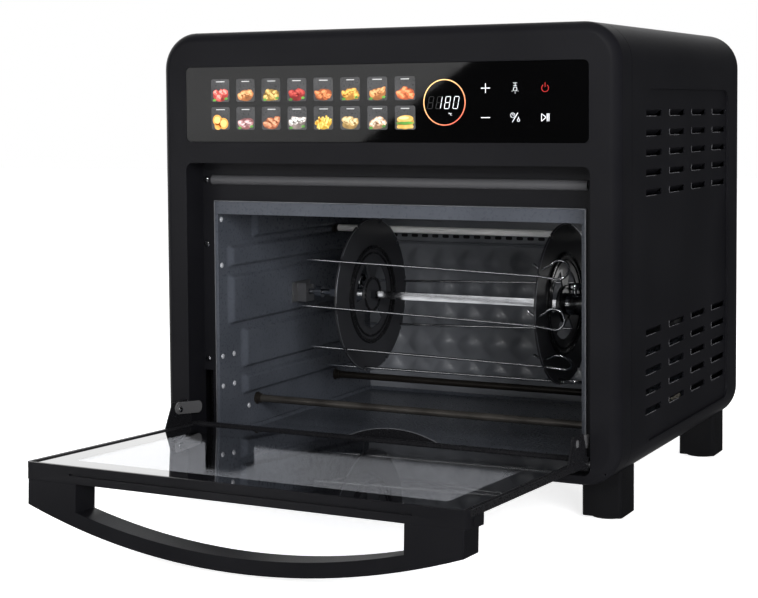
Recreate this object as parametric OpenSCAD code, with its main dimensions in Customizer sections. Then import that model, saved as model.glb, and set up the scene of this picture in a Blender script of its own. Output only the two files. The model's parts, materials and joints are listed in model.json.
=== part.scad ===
// Countertop rotisserie oven: a rounded housing with a glass control strip, a drop-down
// glass door with a bow handle, an enamelled cavity with tube heaters, a roof fan and a
// rotisserie spit that carries two kebab discs and a ring of wire skewers.
// Millimetres. +Z is up, -Y is the front. The origin is at the middle of the bounding box's
// underside, on the surface that the feet stand on, with the door open.
// Inside body_frame(), y = 0 is the front of the bezel and z = 0 the housing's underside.

/* [Housing] */
// Width of the bezel and the outer shell
body_w = 400; // [394:1:406]
// Height of the housing without its feet
body_h = 346; // [342:1:352]
// Depth of the housing without its rear cover
body_d = 324; // [320:1:332]
// Radius of the housing's four long edges
corner_r = 30; // [24:1:34]
// Radius of the bezel's front edge
bezel_round = 8; // [5:1:10]
// Height of the feet
foot_h = 33; // [25:1:40]
// Distance from the front of the bezel back to the origin
origin_y = 56.98; // [50:0.01:65]

/* [Front] */
// Width of the door opening in the bezel
opening_w = 354.6; // [354:0.2:356]
// Height of the top of the door opening
opening_top = 238.7; // [238.5:0.1:240]
// Height of the bezel's bottom rail
rail_top = 8.2; // [6:0.2:9]
// Width of the glass control strip
strip_w = 352; // [340:1:354]
// Height of the glass control strip
strip_h = 61; // [50:1:64]
// Height of the underside of the control strip
strip_z = 256.4; // [252:0.2:262]

/* [Door] */
// Width of the door
door_w = 351; // [348:1:352]
// Length of the door from its hinge axis to its free edge
door_len = 220.9; // [218:0.1:221]
// Angle by which the open door stays above level
door_tilt = 2.4; // [0:0.1:4]
// Length of the handle's finger gap
grip_w = 260; // [220:1:280]
// How far the handle's bow stands off the door at its middle
bow_out = 56.1; // [50:0.1:60]
// Radius of the handle's bow
bow_r = 522; // [480:1:560]
// Thickness of the handle's bow
bow_t = 10.5; // [9:0.5:12]

/* [Rotisserie] */
// Radius of the kebab discs
disc_r = 68; // [64:1:70]
// Distance of the skewers from the spit
skewer_r = 65.5; // [60:0.5:66]
// Height of the first skewer's slot above the spit's front side, as an angle
skewer_first = 31; // [25:1:37]

/* [Heaters and fan] */
// Radius of the tube heaters
heater_r = 3.2; // [2.5:0.1:3.5]
// Radius of the roof fan
fan_r = 50; // [40:1:52]

/* [Hidden] */
$fn = 64;
black = "#17181a";
gloss = "#0c0d0f";
enamel = "#4a4f58";
steel = "#b9bcc0";
chrome = "#d9dbde";

// Bezel and shell
bezel_d = 28;
spigot_y = bezel_d + 5;
wall = 1.2;
shell_y = bezel_d + 0.6;
half_w = body_w / 2;
opening_r = 6;
strip_deep = 3;
strip_gap = 0.4;
display = [59.6, 287];
display_r = 17.5;
icon_window = [-155, 264, 38, 309];

// Side panels, [y0, z0, y1, z1], and their louvres
panel = [62, 24.3, 294, 296.5];
panel_r = 12;
panel_deep = 2;
vent_cols = 4;
vent_rows = 5;
vent_pitch = [60.7, 15.35];
vent_size = [42, 5];
vent_first = [87, 47];
vent_group_step = 169.5;

// Rear cover's vented hump, [x0, z0, x1, z1]
hump = [-130, 60, 130, 296];
hump_deep = 9;
gland = [150, 40];

// Feet
foot_w = 32;
foot_d = 33;
foot_x = 172.5;
foot_y = [54.5, body_d - 16.5];
pad_h = 2;

// Cavity
half_in = 162;
cavity_top = 205;
cavity_front = 25;
cavity_back = 300;
skin = 1;
sill_top = 14.8;
floor_top = 4.2;
wall_z = [floor_top - skin, cavity_top + skin];
rack_bands = [[36, 54, 58], [59, 94, 58], [99, 142, 37], [148, 167, 37], [171, 200, 77]];
band_deep = 3.5;
lamp = [250, 120];
lamp_r = 19.5;

// Spit axis and heater places, [y, z]
spit = [156, 117];
heaters = [[84, 196], [228, 170], [84, 29.5], [228, 29.5]];
bar_w = 6.5;
bar_x = [-126, 150];
bar_end_r = 2.5;
socket_w = bar_w + 0.2;
hub_r = 9.25;
coupling_x = [139, half_in - 1, half_in + 16];
coupling_r = [9.5, 5];
disc_x = [-85, 98];
disc_t = 1.5;
wire_r = 1.2;
disc_slots = 10;
disc_twist = -5;
slot_in_use = [0, 1, 2, 3, 5, 6];
skewer_lean = atan(2 * skewer_r * sin(-disc_twist / 2) / (disc_x[1] - disc_x[0]));
skewer_len = (disc_x[1] - disc_x[0]) / cos(skewer_lean) + 6;
loop_r = 9;
loop_set = 5;
run_gap = 0.05;

// Fan
fan_y = 156;
dome_r = 60;
guard_pitch = 13;
dome_top = cavity_top + 32;
fan_shaft_r = 3;
motor_z = [cavity_top + 36, cavity_top + 64];
fan_z = cavity_top + 14;
cooler_z = cavity_top + 80;

// Door, in its own frame: y runs back to the hinge axis, z towards the cavity side
hinge = [4, 16.6];
half_door = door_w / 2;
trim_w = 4;
pane_z = [-0.7, 3.3];
trim_top = 3.9;
rail_z = [-8.6, -0.8];
rail_d = 24;
lip_d = 2.8;
knuckle_r = 5.5;
pin_r = 2.5;
pin_x = [166, 183.2];
post_w = 345;
handle_d = 23;
bow_z = bow_r - bow_out;
screw_x = 151;
arm_x = [172.2, 173.7];
tab_x = [173.8, 175.3];
arm_pivot = [-27, 22];
arm_end = [2, 20];

// Crumb tray
tray_x = 159;
tray_y = [28.2, 296];
tray_z = floor_top + 0.2;
tray_t = 0.8;
tab_w = 82;
tab_h = 9;

// ---- frames and small helpers ----

// Housing frame: front of the bezel at y = 0, underside of the housing at z = 0
module body_frame() {
    translate([0, -origin_y, foot_h]) children();
}

// Door frame: hinge axis along X through its origin, the open door along -Y
module door_frame() {
    body_frame() translate([0, hinge[0], hinge[1]]) rotate([-door_tilt, 0, 0]) children();
}

// Spit frame: the spit's axis along X through its origin
module spit_frame() {
    body_frame() translate([0, spit[0], spit[1]]) children();
}

// Extrudes a front outline (x, z) between two depths
module along_y(y0, y1) {
    translate([0, y1, 0]) rotate([90, 0, 0]) linear_extrude(y1 - y0) children();
}

// Extrudes a side outline (y, z) between two widths
module along_x(x0, x1) {
    translate([x0, 0, 0]) rotate([90, 0, 90]) linear_extrude(x1 - x0) children();
}

// Round bar along X between two widths
module rod_x(x0, x1, r) {
    translate([x0, 0, 0]) rotate([0, 90, 0]) cylinder(h = x1 - x0, r = r);
}

// Round bar along Y between two depths
module rod_y(y0, y1, r) {
    translate([0, y1, 0]) rotate([90, 0, 0]) cylinder(h = y1 - y0, r = r);
}

// Box between two corners
module box(a, b) {
    translate(a) cube(b - a);
}

// The children and their mirror image in X
module both_sides() {
    children();
    mirror([1, 0, 0]) children();
}

// Rectangle with round corners, from (x0, y0) to (x1, y1)
module round_rect(x0, y0, x1, y1, r) {
    translate([x0 + r, y0]) square([x1 - x0 - 2 * r, y1 - y0]);
    translate([x0, y0 + r]) square([x1 - x0, y1 - y0 - 2 * r]);
    for (x = [x0 + r, x1 - r], y = [y0 + r, y1 - r]) translate([x, y]) circle(r);
}

// Outline of the housing, set in by a margin
module housing_outline(inset = 0) {
    round_rect(-half_w + inset, inset, half_w - inset, body_h - inset, corner_r - inset);
}

// Slot with round ends, centred, along the first axis
module slot(len, h) {
    square([len - h, h], center = true);
    for (s = [-1, 1]) translate([s * (len - h) / 2, 0]) circle(h / 2);
}

// ---- housing ----

// Section of the bezel's slab: straight sides and two rounded front corners
module bezel_section(w) {
    f = bezel_round;
    translate([-w / 2, f]) square([w, bezel_d - f]);
    translate([-w / 2 + f, 0]) square([w - 2 * f, f + 1]);
    for (s = [-1, 1]) translate([s * (w / 2 - f), f]) circle(f);
}

// Slab with round corners whose front edge is rounded all the way round
module bezel_slab() {
    r = corner_r;
    translate([0, 0, r]) linear_extrude(body_h - 2 * r) bezel_section(body_w);
    translate([half_w - r, 0, body_h / 2]) rotate([0, -90, 0])
        linear_extrude(body_w - 2 * r) bezel_section(body_h);
    for (x = [-half_w + r, half_w - r], z = [r, body_h - r]) translate([x, 0, z])
        rotate([-90, 0, 0]) rotate_extrude() intersection() {
            bezel_section(2 * r);
            square([r, bezel_d]);
        }
}

module front_bezel() color(black) body_frame() difference() {
    union() {
        bezel_slab();
        along_y(bezel_d - 1, spigot_y) difference() {
            housing_outline(wall + 0.4);
            housing_outline(wall + 3);
        }
    }
    along_y(-1, bezel_d + 6)
        round_rect(-opening_w / 2, rail_top, opening_w / 2, opening_top, opening_r);
    along_y(cavity_front, bezel_d + 6) round_rect(-181, 4.4, 181, 242, 6);
    along_y(-1, strip_deep) round_rect(-strip_w / 2 - strip_gap, strip_z - strip_gap,
        strip_w / 2 + strip_gap, strip_z + strip_h + strip_gap, 4 + strip_gap);
    along_y(strip_deep + 2.5, bezel_d + 1) round_rect(-184, 246, 184, body_h - 4, 20);
    along_y(strip_deep - 1, bezel_d)
        round_rect(icon_window[0], icon_window[1], icon_window[2], icon_window[3], 2);
    translate([display[0], 0, display[1]]) rod_y(strip_deep - 1, bezel_d, display_r + 0.5);
    both_sides() box([180.9, 1.4, 10], [189, bezel_d + 6, 62]);
    translate([0, hinge[0], hinge[1]]) rod_x(-182, 182, pin_r + 0.3);
}

module control_glass() color(gloss) body_frame() along_y(0, strip_deep - 0.2)
    round_rect(-strip_w / 2, strip_z, strip_w / 2, strip_z + strip_h, 4);

module control_board() color("#1f5a38") body_frame() {
    box([-165, 9, 258], [165, 10.6, 316]);
    translate([display[0], 0, display[1]]) rod_y(strip_deep + 0.2, 9.2, display_r);
    along_y(strip_deep + 0.2, 9.2) round_rect(icon_window[0] + 1, icon_window[1] + 1,
        icon_window[2] - 1, icon_window[3] - 1, 2);
    for (x = [-120, 90]) box([x, 10.5, 270], [x + 30, 20, 300]);
}

// Outline of the recessed side panel, grown by a margin
module panel_outline(grow) {
    round_rect(panel[0] - grow, panel[1] - grow, panel[2] + grow, panel[3] + grow,
        panel_r + grow);
}

// Two groups of louvre slots on a side panel
module side_vents() {
    for (g = [0, vent_group_step], i = [0 : vent_rows - 1], j = [0 : vent_cols - 1])
        translate([vent_first[0] + j * vent_pitch[0], vent_first[1] + g + i * vent_pitch[1]])
            slot(vent_size[0], vent_size[1]);
}

module outer_shell() color(black) body_frame() {
    difference() {
        along_y(shell_y, body_d) difference() {
            housing_outline();
            housing_outline(wall);
            translate([-160, -1]) square([320, wall + 2]);
        }
        both_sides() along_x(half_w - 5, half_w + 1) panel_outline(0);
    }
    both_sides() difference() {
        along_x(half_w - panel_deep - wall, half_w) panel_outline(wall);
        along_x(half_w - panel_deep, half_w + 1) panel_outline(0);
        along_x(half_w - 8, half_w + 1) side_vents();
    }
}

module rear_cover() color(black) body_frame() difference() {
    union() {
        along_y(body_d, body_d + wall) housing_outline(1);
        along_y(body_d, body_d + hump_deep) round_rect(hump[0], hump[1], hump[2], hump[3], 14);
    }
    along_y(body_d - 1, body_d + hump_deep - wall) round_rect(hump[0] + wall,
        hump[1] + wall, hump[2] - wall, hump[3] - wall, 14 - wall);
    for (i = [0 : 13], x = [-75, 0, 75]) translate([x, 0, 90 + i * 13])
        along_y(body_d, body_d + hump_deep + 1) slot(58, 5);
    for (i = [0 : 2], x = [-90, 0, 90]) translate([x, 0, 310 + i * 9])
        along_y(body_d - 1, body_d + 2) slot(60, 4);
    translate([gland[0], 0, gland[1]]) rod_y(body_d - 1, body_d + 2, 8.2);
}

module base_plate() color(black) body_frame() difference() {
    box([-170, bezel_d + 6, wall + 0.1], [170, body_d, 2 * wall + 0.1]);
    for (i = [0 : 15], x = [-100, 0, 100]) translate([x, 70 + i * 14, 0])
        linear_extrude(5) slot(70, 5);
}

// Square foot with rounded upright edges, its top following the housing's round corner
module foot(x, y) color(black) body_frame() difference() {
    translate([x - foot_w / 2, y - foot_d / 2, pad_h - foot_h])
        linear_extrude(foot_h - pad_h + 7) round_rect(0, 0, foot_w, foot_d, 3);
    along_y(y - foot_d, y + foot_d) housing_outline();
}

module foot_front_left() foot(-foot_x, foot_y[0]);
module foot_front_right() foot(foot_x, foot_y[0]);
module foot_rear_left() foot(-foot_x, foot_y[1]);
module foot_rear_right() foot(foot_x, foot_y[1]);

module foot_pads() color("#0b0b0b") body_frame() {
    for (x = [-foot_x, foot_x], y = foot_y)
        translate([x, y, -foot_h]) cylinder(h = pad_h, r = 13);
}

module cord_gland() color("#101010") body_frame() translate([gland[0], 0, gland[1]])
    difference() {
        union() {
            rod_y(body_d - 6, body_d + 7, 8);
            rod_y(body_d + wall, body_d + 3.5, 11);
        }
        rod_y(body_d - 7, body_d + 8, 4);
    }

// ---- cavity ----

module front_frame() color(black) body_frame() along_y(cavity_front, cavity_front + skin)
    difference() {
        round_rect(-180.5, 5, 180.5, 241.6, 5);
        translate([-half_in - 3, sill_top]) square([2 * half_in + 6, wall_z[1] - sill_top]);
        for (s = [-1, 1]) translate([s * 173.2 - 4.2, 0]) square([8.4, 62]);
    }

// Where the tube heaters pass through a side wall
module heater_holes() {
    for (p = heaters) translate([0, p[0], p[1]]) rod_x(-200, 200, heater_r + 0.5);
}

// Wide pressed band between the rack gaps, with a sloping front end
module rack_band(z0, z1, y0) {
    along_y(y0 + 6, cavity_back - 12) polygon([[half_in + 0.5, z0],
        [half_in - band_deep, z0 + 3], [half_in - band_deep, z1 - 3],
        [half_in + 0.5, z1]]);
    translate([0, 0, z0 + 3]) linear_extrude(z1 - z0 - 6) polygon([
        [half_in + 0.5, y0], [half_in - band_deep, y0 + 6], [half_in + 0.5, y0 + 7]]);
}

module side_wall() difference() {
    union() {
        box([half_in, cavity_front + 0.2, wall_z[0]], [half_in + skin, cavity_back, wall_z[1]]);
        box([half_in, cavity_front - 1, sill_top + 0.4],
            [half_in + 3.5, cavity_front - 0.1, wall_z[1]]);
        box([half_in, cavity_front - 1, sill_top + 0.4],
            [half_in + skin, cavity_front + 0.4, wall_z[1]]);
        for (b = rack_bands) rack_band(b[0], b[1], b[2]);
    }
    heater_holes();
    box([half_in - 1, 0, 0], [half_in + 2, cavity_front + skin, sill_top]);
    box([half_in - 1, 0, 0], [half_in + 2, spigot_y, floor_top + 0.2]);
}

module cavity_left_wall() color(enamel) body_frame() mirror([1, 0, 0]) side_wall();

module cavity_right_wall() color(enamel) body_frame() difference() {
    side_wall();
    translate([0, spit[0], spit[1]]) rod_x(150, 200, coupling_r[0] + 2);
    translate([0, lamp[0], lamp[1]]) rod_x(150, 200, lamp_r + 0.5);
}

module cavity_back_wall() color(enamel) body_frame() difference() {
    union() {
        box([-half_in - skin, cavity_back, wall_z[0]],
            [half_in + skin, cavity_back + skin, wall_z[1]]);
        box([-154, cavity_back - 4, 156], [154, cavity_back + 0.5, 198]);
        for (x = [-5 : 5], z = [0 : 4]) translate([x * 27, cavity_back + 0.1, 40 + z * 26])
            rotate([90, 0, 0]) cylinder(h = 2.5, r1 = 11, r2 = 3);
    }
    for (i = [-13 : 13]) translate([i * 11, 0, 160])
        along_y(cavity_back - 5, cavity_back - 2) slot(7, 3);
}

module cavity_roof() color(enamel) body_frame() difference() {
    union() {
        box([-half_in, cavity_front + 0.2, cavity_top], [half_in, cavity_back, wall_z[1]]);
        box([-half_in, cavity_front - 1, cavity_top - 10],
            [half_in, cavity_front + 0.4, wall_z[1]]);
    }
    translate([0, fan_y, 150]) cylinder(h = 100, r = dome_r - 2);
}

module cavity_floor() color(enamel) body_frame()
    box([-half_in, spigot_y, wall_z[0]], [half_in, cavity_back, floor_top]);

// Half-round bar across the top of the recess that the door closes against
module seal_bar() color("#6d6f73") body_frame() translate([0, cavity_front, 223.8])
    intersection() {
        rod_x(-167, 167, 4);
        box([-170, -6, -6], [170, 0, 6]);
    }

module frame_screws() color(chrome) body_frame() {
    for (x = [-173.5, 173.5], z = [72, 169.5, 223.8]) translate([x, 0, z])
        rod_y(cavity_front - 1.4, cavity_front, 2.6);
}

module cavity_rivets() color(chrome) body_frame() both_sides() {
    for (p = [[29, 190], [29, 151], [29, 73.5], [47, 73.5], [29, 48], [47, 48], [70, 25]])
        translate([0, p[0], p[1]]) rod_x(half_in - 1, half_in, 2.2);
}

module heater(i) color("#8d857a") body_frame() translate([0, heaters[i][0], heaters[i][1]])
    rod_x(-half_in - 8, half_in + 8, heater_r);

module heater_upper_front() heater(0);
module heater_upper_rear() heater(1);
module heater_lower_front() heater(2);
module heater_lower_rear() heater(3);

module heater_terminals() color("#e8e2d2") body_frame() both_sides() {
    for (p = heaters) translate([0, p[0], p[1]]) difference() {
        rod_x(half_in + skin, half_in + 14, 6);
        rod_x(half_in, half_in + 8.5, heater_r + 0.1);
    }
}

// ---- roof fan ----

// Parallel bars below the air hole, each welded to the roof at both ends
module fan_guard() color(chrome) body_frame()
    for (i = [-4 : 4]) {
        half = sqrt(pow(dome_r + 2, 2) - pow(guard_pitch * i, 2));
        translate([0, fan_y + guard_pitch * i, cavity_top - 1]) rod_x(-half, half, 1);
    }

module fan_dome() color(steel) body_frame() translate([0, fan_y, 0]) difference() {
    union() {
        translate([0, 0, wall_z[1]]) cylinder(h = dome_top - wall_z[1], r = dome_r);
        translate([0, 0, wall_z[1]]) cylinder(h = 1, r = dome_r + 6);
    }
    translate([0, 0, wall_z[1] - 1]) cylinder(h = dome_top - wall_z[1], r = dome_r - 1);
    cylinder(h = 400, r = fan_shaft_r + 1);
}

module fan_motor() color(steel) body_frame() translate([0, fan_y, 0]) difference() {
    union() {
        translate([0, 0, motor_z[0]]) cylinder(h = motor_z[1] - motor_z[0], r = 26);
        for (a = [45 : 90 : 315]) rotate([0, 0, a]) translate([20, 0, dome_top])
            cylinder(h = motor_z[0] - dome_top + 1, r = 3);
    }
    cylinder(h = 400, r = fan_shaft_r + run_gap);
}

// Tilted blades set round a hub
module blades(count, r0, r1, h) {
    for (i = [0 : count - 1]) rotate([25, 0, i * 360 / count])
        translate([r0, -0.6, -h / 2]) cube([r1 - r0, 1.2, h]);
}

module fan_wheel() color(steel) body_frame() translate([0, fan_y, fan_z]) {
    translate([0, 0, -6]) cylinder(h = 14, r = 9);
    cylinder(h = cooler_z - fan_z + 4, r = fan_shaft_r);
    blades(8, 7, fan_r, 14);
}

module cooling_wheel() color("#2a2c30") body_frame() translate([0, fan_y, cooler_z])
    difference() {
        union() {
            translate([0, 0, -5]) cylinder(h = 11, r = 10);
            blades(10, 8, 40, 12);
        }
        translate([0, 0, -8]) cylinder(h = 12.2, r = fan_shaft_r + 0.05);
    }

// ---- lamp, spit drive and cradle ----

module lamp_lens() color("#e6e9ea") body_frame() translate([0, lamp[0], lamp[1]]) {
    rod_x(half_in - band_deep - 2, half_in - band_deep, lamp_r + 2.5);
    rod_x(half_in - band_deep - 1, half_in + skin + 2, lamp_r);
}

module lamp_socket() color(steel) body_frame() translate([0, lamp[0], lamp[1]])
    rod_x(half_in + skin + 2, 190, lamp_r - 2);

module spit_motor() color(steel) spit_frame() difference() {
    union() {
        box([half_in + skin, -28, -25], [half_in + 19, 40, 29]);
        translate([0, 16, 0]) rod_x(half_in + 18, 194, 20);
    }
    rod_x(half_in, coupling_x[2] + 1, coupling_r[1] + run_gap);
}

module spit_cradle() color(steel) spit_frame() difference() {
    union() {
        box([-half_in + band_deep, -16, -9], [-half_in + band_deep + 1.5, 16, 9]);
        box([-half_in + band_deep, -7, -9], [-148, 7, -7.5]);
        box([-150, -7, -9], [-148, 7, 6]);
        box([-half_in + band_deep, -8, -9], [-148, -7, 8]);
    }
    rod_x(-152, -146, bar_end_r + 0.4);
    box([-152, -bar_end_r - 0.4, 0], [-146, bar_end_r + 0.4, 20]);
}

// ---- hinges and crumb tray ----

// Steel plate inside the bezel's side post with the pin that carries the door
module hinge_mount() {
    along_x(181.2, pin_x[1]) round_rect(1.8, 10.4, 27.4, 61, 2);
    translate([0, hinge[0], hinge[1]]) rod_x(pin_x[0], pin_x[1], pin_r);
}

module hinge_mount_left() color(steel) body_frame() mirror([1, 0, 0]) hinge_mount();
module hinge_mount_right() color(steel) body_frame() hinge_mount();

// Shallow tray whose front lip hooks over the sill, with an arched grip
module crumb_tray() color(enamel) body_frame() {
    lip = sill_top + 0.4;
    arch_r = (pow(tab_w / 2, 2) + pow(tab_h, 2)) / (2 * tab_h);
    difference() {
        box([-tray_x, tray_y[0] - tray_t, tray_z], [tray_x, tray_y[1], tray_z + 4]);
        box([-tray_x + tray_t, tray_y[0], tray_z + tray_t],
            [tray_x - tray_t, tray_y[1] - tray_t, tray_z + 5]);
    }
    along_y(tray_y[0] - tray_t, tray_y[0]) {
        translate([-tray_x, tray_z + 1]) square([2 * tray_x, lip + tray_t - tray_z - 1]);
        intersection() {
            translate([0, lip + tray_t + tab_h - arch_r]) circle(arch_r, $fn = 180);
            translate([-tray_x, lip - 1]) square([2 * tray_x, 20]);
        }
    }
    box([-tray_x, 20, lip], [tray_x, tray_y[0] - tray_t / 2, lip + tray_t]);
}

// ---- door ----

// Plan of the door's front end, with rounded free corners, back to a given length
module door_plan(len) {
    intersection() {
        round_rect(-half_door, -door_len, half_door, 10, 5);
        translate([-half_door - 1, -door_len - 1]) square([door_w + 2, len + 1]);
    }
}

module door_pane() color("#3b4046") door_frame()
    box([-half_door + trim_w + 0.2, -door_len + lip_d + 0.2, pane_z[0]],
        [half_door - trim_w - 0.2, -knuckle_r - 0.5, pane_z[1]]);

module door_front_rail() color(black) door_frame() difference() {
    union() {
        translate([0, 0, rail_z[0]]) linear_extrude(rail_z[1] - rail_z[0]) door_plan(rail_d);
        translate([0, 0, rail_z[1] - 1]) linear_extrude(trim_top - rail_z[1] + 1)
            door_plan(lip_d);
    }
    box([-136, -door_len - 1, -2.9], [136, -door_len + 1.5, -1.4]);
    for (x = [-screw_x, screw_x]) translate([x, -door_len + handle_d / 2, -3])
        cylinder(h = 5, r = 4.2);
    for (x = [-screw_x, screw_x]) translate([x, -door_len + handle_d / 2, -20])
        cylinder(h = 30, r = 2.1);
}

module door_hinge_rail() color(black) door_frame() difference() {
    union() {
        rod_x(-half_door, half_door, knuckle_r);
        box([-half_door + trim_w, -rail_d, -3.4], [half_door - trim_w, -3, -0.8]);
    }
    both_sides() rod_x(pin_x[0] - 1, half_door + 1, pin_r + run_gap);
}

// Side trim of the door with the upright tab that carries the hinge arm
module door_trim() {
    box([half_door - trim_w, -door_len + lip_d + 0.1, pane_z[0]],
        [half_door, -knuckle_r - 0.5, trim_top]);
    difference() {
        along_x(tab_x[0], tab_x[1]) polygon([[-44, 3], [-34, 24], [-14, 25], [-6.5, 10],
            [-6.5, 3]]);
        translate([0, arm_pivot[0], arm_pivot[1] - 3]) rod_x(170, 180, 1.7);
    }
}

module door_trim_left() color(black) door_frame() mirror([1, 0, 0]) door_trim();
module door_trim_right() color(black) door_frame() door_trim();

module door_plugs() color("#0b0b0b") door_frame() both_sides()
    translate([0, -door_len + 9, -4.4]) rod_x(half_door, half_door + 0.7, 3.2);

module door_handle() color(black) door_frame() difference() {
    along_y(-door_len, -door_len + handle_d) difference() {
        intersection() {
            translate([0, bow_z]) circle(bow_r, $fn = 360);
            translate([-post_w / 2, -bow_out - 1])
                square([post_w, bow_out + 1 + rail_z[0]]);
        }
        intersection() {
            translate([0, bow_z]) circle(bow_r - bow_t, $fn = 360);
            translate([-grip_w / 2, -bow_out]) square([grip_w, bow_out + 10]);
        }
    }
    for (x = [-screw_x, screw_x]) translate([x, -door_len + handle_d / 2, -20])
        cylinder(h = 30, r = 2.1);
}

module handle_screws() color(steel) door_frame() {
    for (x = [-screw_x, screw_x]) translate([x, -door_len + handle_d / 2, 0]) {
        translate([0, 0, -19]) cylinder(h = 17, r = 2);
        translate([0, 0, -3]) cylinder(h = 2, r = 4);
    }
}

// Steel lever beside the door tab, with its rivet
module hinge_arm() {
    dy = arm_end[0] - arm_pivot[0];
    dz = arm_end[1] - arm_pivot[1];
    along_x(arm_x[0], arm_x[1]) translate([arm_pivot[0], arm_pivot[1] - 3])
        rotate(atan2(dz, dy)) translate([norm([dy, dz]) / 2, 0])
            slot(norm([dy, dz]) + 10, 10);
    translate([0, arm_pivot[0], arm_pivot[1] - 3]) {
        rod_x(arm_x[0] - 0.8, tab_x[1] + 0.6, 1.6);
        rod_x(arm_x[0] - 0.8, arm_x[0], 3.2);
        rod_x(tab_x[1], tab_x[1] + 0.6, 2.8);
    }
}

module hinge_arm_left() color(steel) door_frame() mirror([1, 0, 0]) hinge_arm();
module hinge_arm_right() color(steel) door_frame() hinge_arm();

// ---- rotisserie ----

module spit_bar() color(chrome) spit_frame() {
    box([bar_x[0], -bar_w / 2, -bar_w / 2], [bar_x[1], bar_w / 2, bar_w / 2]);
    rod_x(-156, bar_x[0] + 1, bar_end_r);
    rod_x(-141, -135, 5);
}

module drive_coupling() color(chrome) spit_frame() difference() {
    union() {
        rod_x(coupling_x[0], coupling_x[1], coupling_r[0]);
        rod_x(coupling_x[1] - 1, coupling_x[2], coupling_r[1]);
    }
    box([coupling_x[0] - 1, -socket_w / 2, -socket_w / 2],
        [bar_x[1] + 0.5, socket_w / 2, socket_w / 2]);
}

// Angle of a slot above the spit's front side
function slot_turn(i) = skewer_first - i * 360 / disc_slots;

// Arched window in a disc between two radii, 80 degrees wide
module disc_window(r0, r1, turn) {
    rotate(turn) intersection() {
        difference() {
            circle(r1);
            circle(r0);
        }
        polygon([[0, 0], [80 * cos(-40), 80 * sin(-40)], [110, 0],
            [80 * cos(40), 80 * sin(40)]]);
    }
}

// Thin round plate with arched windows and open slots in its rim for the skewers
module disc(x, twist) color(black) spit_frame() along_x(x - disc_t / 2, x + disc_t / 2)
    difference() {
        circle(disc_r);
        square(socket_w, center = true);
        for (i = [0 : 2]) disc_window(16, 30, 120 * i + 30);
        for (i = [0 : disc_slots - 1]) rotate(180 - slot_turn(i) - twist) {
            translate([skewer_r, 0]) circle(wire_r + 0.3);
            translate([skewer_r, -wire_r - 0.3]) square([disc_r, 2 * wire_r + 0.6]);
        }
    }

module disc_left() disc(disc_x[0], 0);
module disc_right() disc(disc_x[1], disc_twist);

// Where a hub stands on its disc's outer side
hub_x = [[disc_x[0] - 23, disc_x[0] - 0.8], [disc_x[1] + 0.8, disc_x[1] + 19]];

module disc_hubs() color(chrome) spit_frame() difference() {
    for (h = hub_x) rod_x(h[0], h[1], hub_r);
    box([-120, -socket_w / 2, -socket_w / 2], [130, socket_w / 2, socket_w / 2]);
    for (h = hub_x) translate([(h[0] + h[1]) / 2, 0, 0]) cylinder(h = 20, r = 2.1);
}

module thumb_screws() color(chrome) spit_frame() {
    for (h = hub_x) translate([(h[0] + h[1]) / 2, 0, 0]) {
        translate([0, 0, socket_w / 2]) cylinder(h = 12, r = 2);
        translate([0, 0, 12]) cylinder(h = 6, r = 6);
    }
}

// Pointed wire between the discs' slots, with a loop that stands round the ring of skewers
module skewer(i) color(chrome) spit_frame()
    rotate([-slot_turn(slot_in_use[i - 1]) - disc_twist / 2, 0, 0])
    translate([0, -skewer_r * cos(disc_twist / 2), skewer_r * sin(-disc_twist / 2)])
    translate([disc_x[0], 0, 0]) rotate([0, skewer_lean, 0]) {
        rod_x(-30, skewer_len, wire_r);
        translate([-30, 0, 0]) rotate([0, -90, 0]) cylinder(h = 7, r1 = wire_r, r2 = 0.2);
        translate([skewer_len + loop_set, 0, sqrt(pow(loop_r, 2) - pow(loop_set, 2))])
            rotate([90, 0, 0]) rotate_extrude() translate([loop_r, 0]) circle(wire_r);
    }

module skewer_1() skewer(1);
module skewer_2() skewer(2);
module skewer_3() skewer(3);
module skewer_4() skewer(4);
module skewer_5() skewer(5);
module skewer_6() skewer(6);

front_bezel();
control_glass();
control_board();
outer_shell();
rear_cover();
base_plate();
foot_front_left();
foot_front_right();
foot_rear_left();
foot_rear_right();
foot_pads();
front_frame();
cavity_left_wall();
cavity_right_wall();
cavity_back_wall();
cavity_roof();
cavity_floor();
seal_bar();
frame_screws();
cavity_rivets();
heater_upper_front();
heater_upper_rear();
heater_lower_front();
heater_lower_rear();
heater_terminals();
fan_guard();
fan_dome();
fan_motor();
fan_wheel();
cooling_wheel();
lamp_lens();
lamp_socket();
spit_motor();
spit_cradle();
cord_gland();
hinge_mount_left();
hinge_mount_right();
crumb_tray();
door_pane();
door_front_rail();
door_hinge_rail();
door_trim_left();
door_trim_right();
door_plugs();
door_handle();
handle_screws();
hinge_arm_left();
hinge_arm_right();
spit_bar();
drive_coupling();
disc_left();
disc_right();
disc_hubs();
thumb_screws();
skewer_1();
skewer_2();
skewer_3();
skewer_4();
skewer_5();
skewer_6();
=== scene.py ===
"""Looks of the rotisserie oven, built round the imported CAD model.

Lengths in this file are millimetres. Three frames place the pieces: the housing's (front of the
bezel y = 0, underside z = 0), the open door's (hinge axis along X) and the spit's (axis along X).
"""
import json
import math
import random

import bpy
import bmesh
from mathutils import Matrix, Vector


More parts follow.
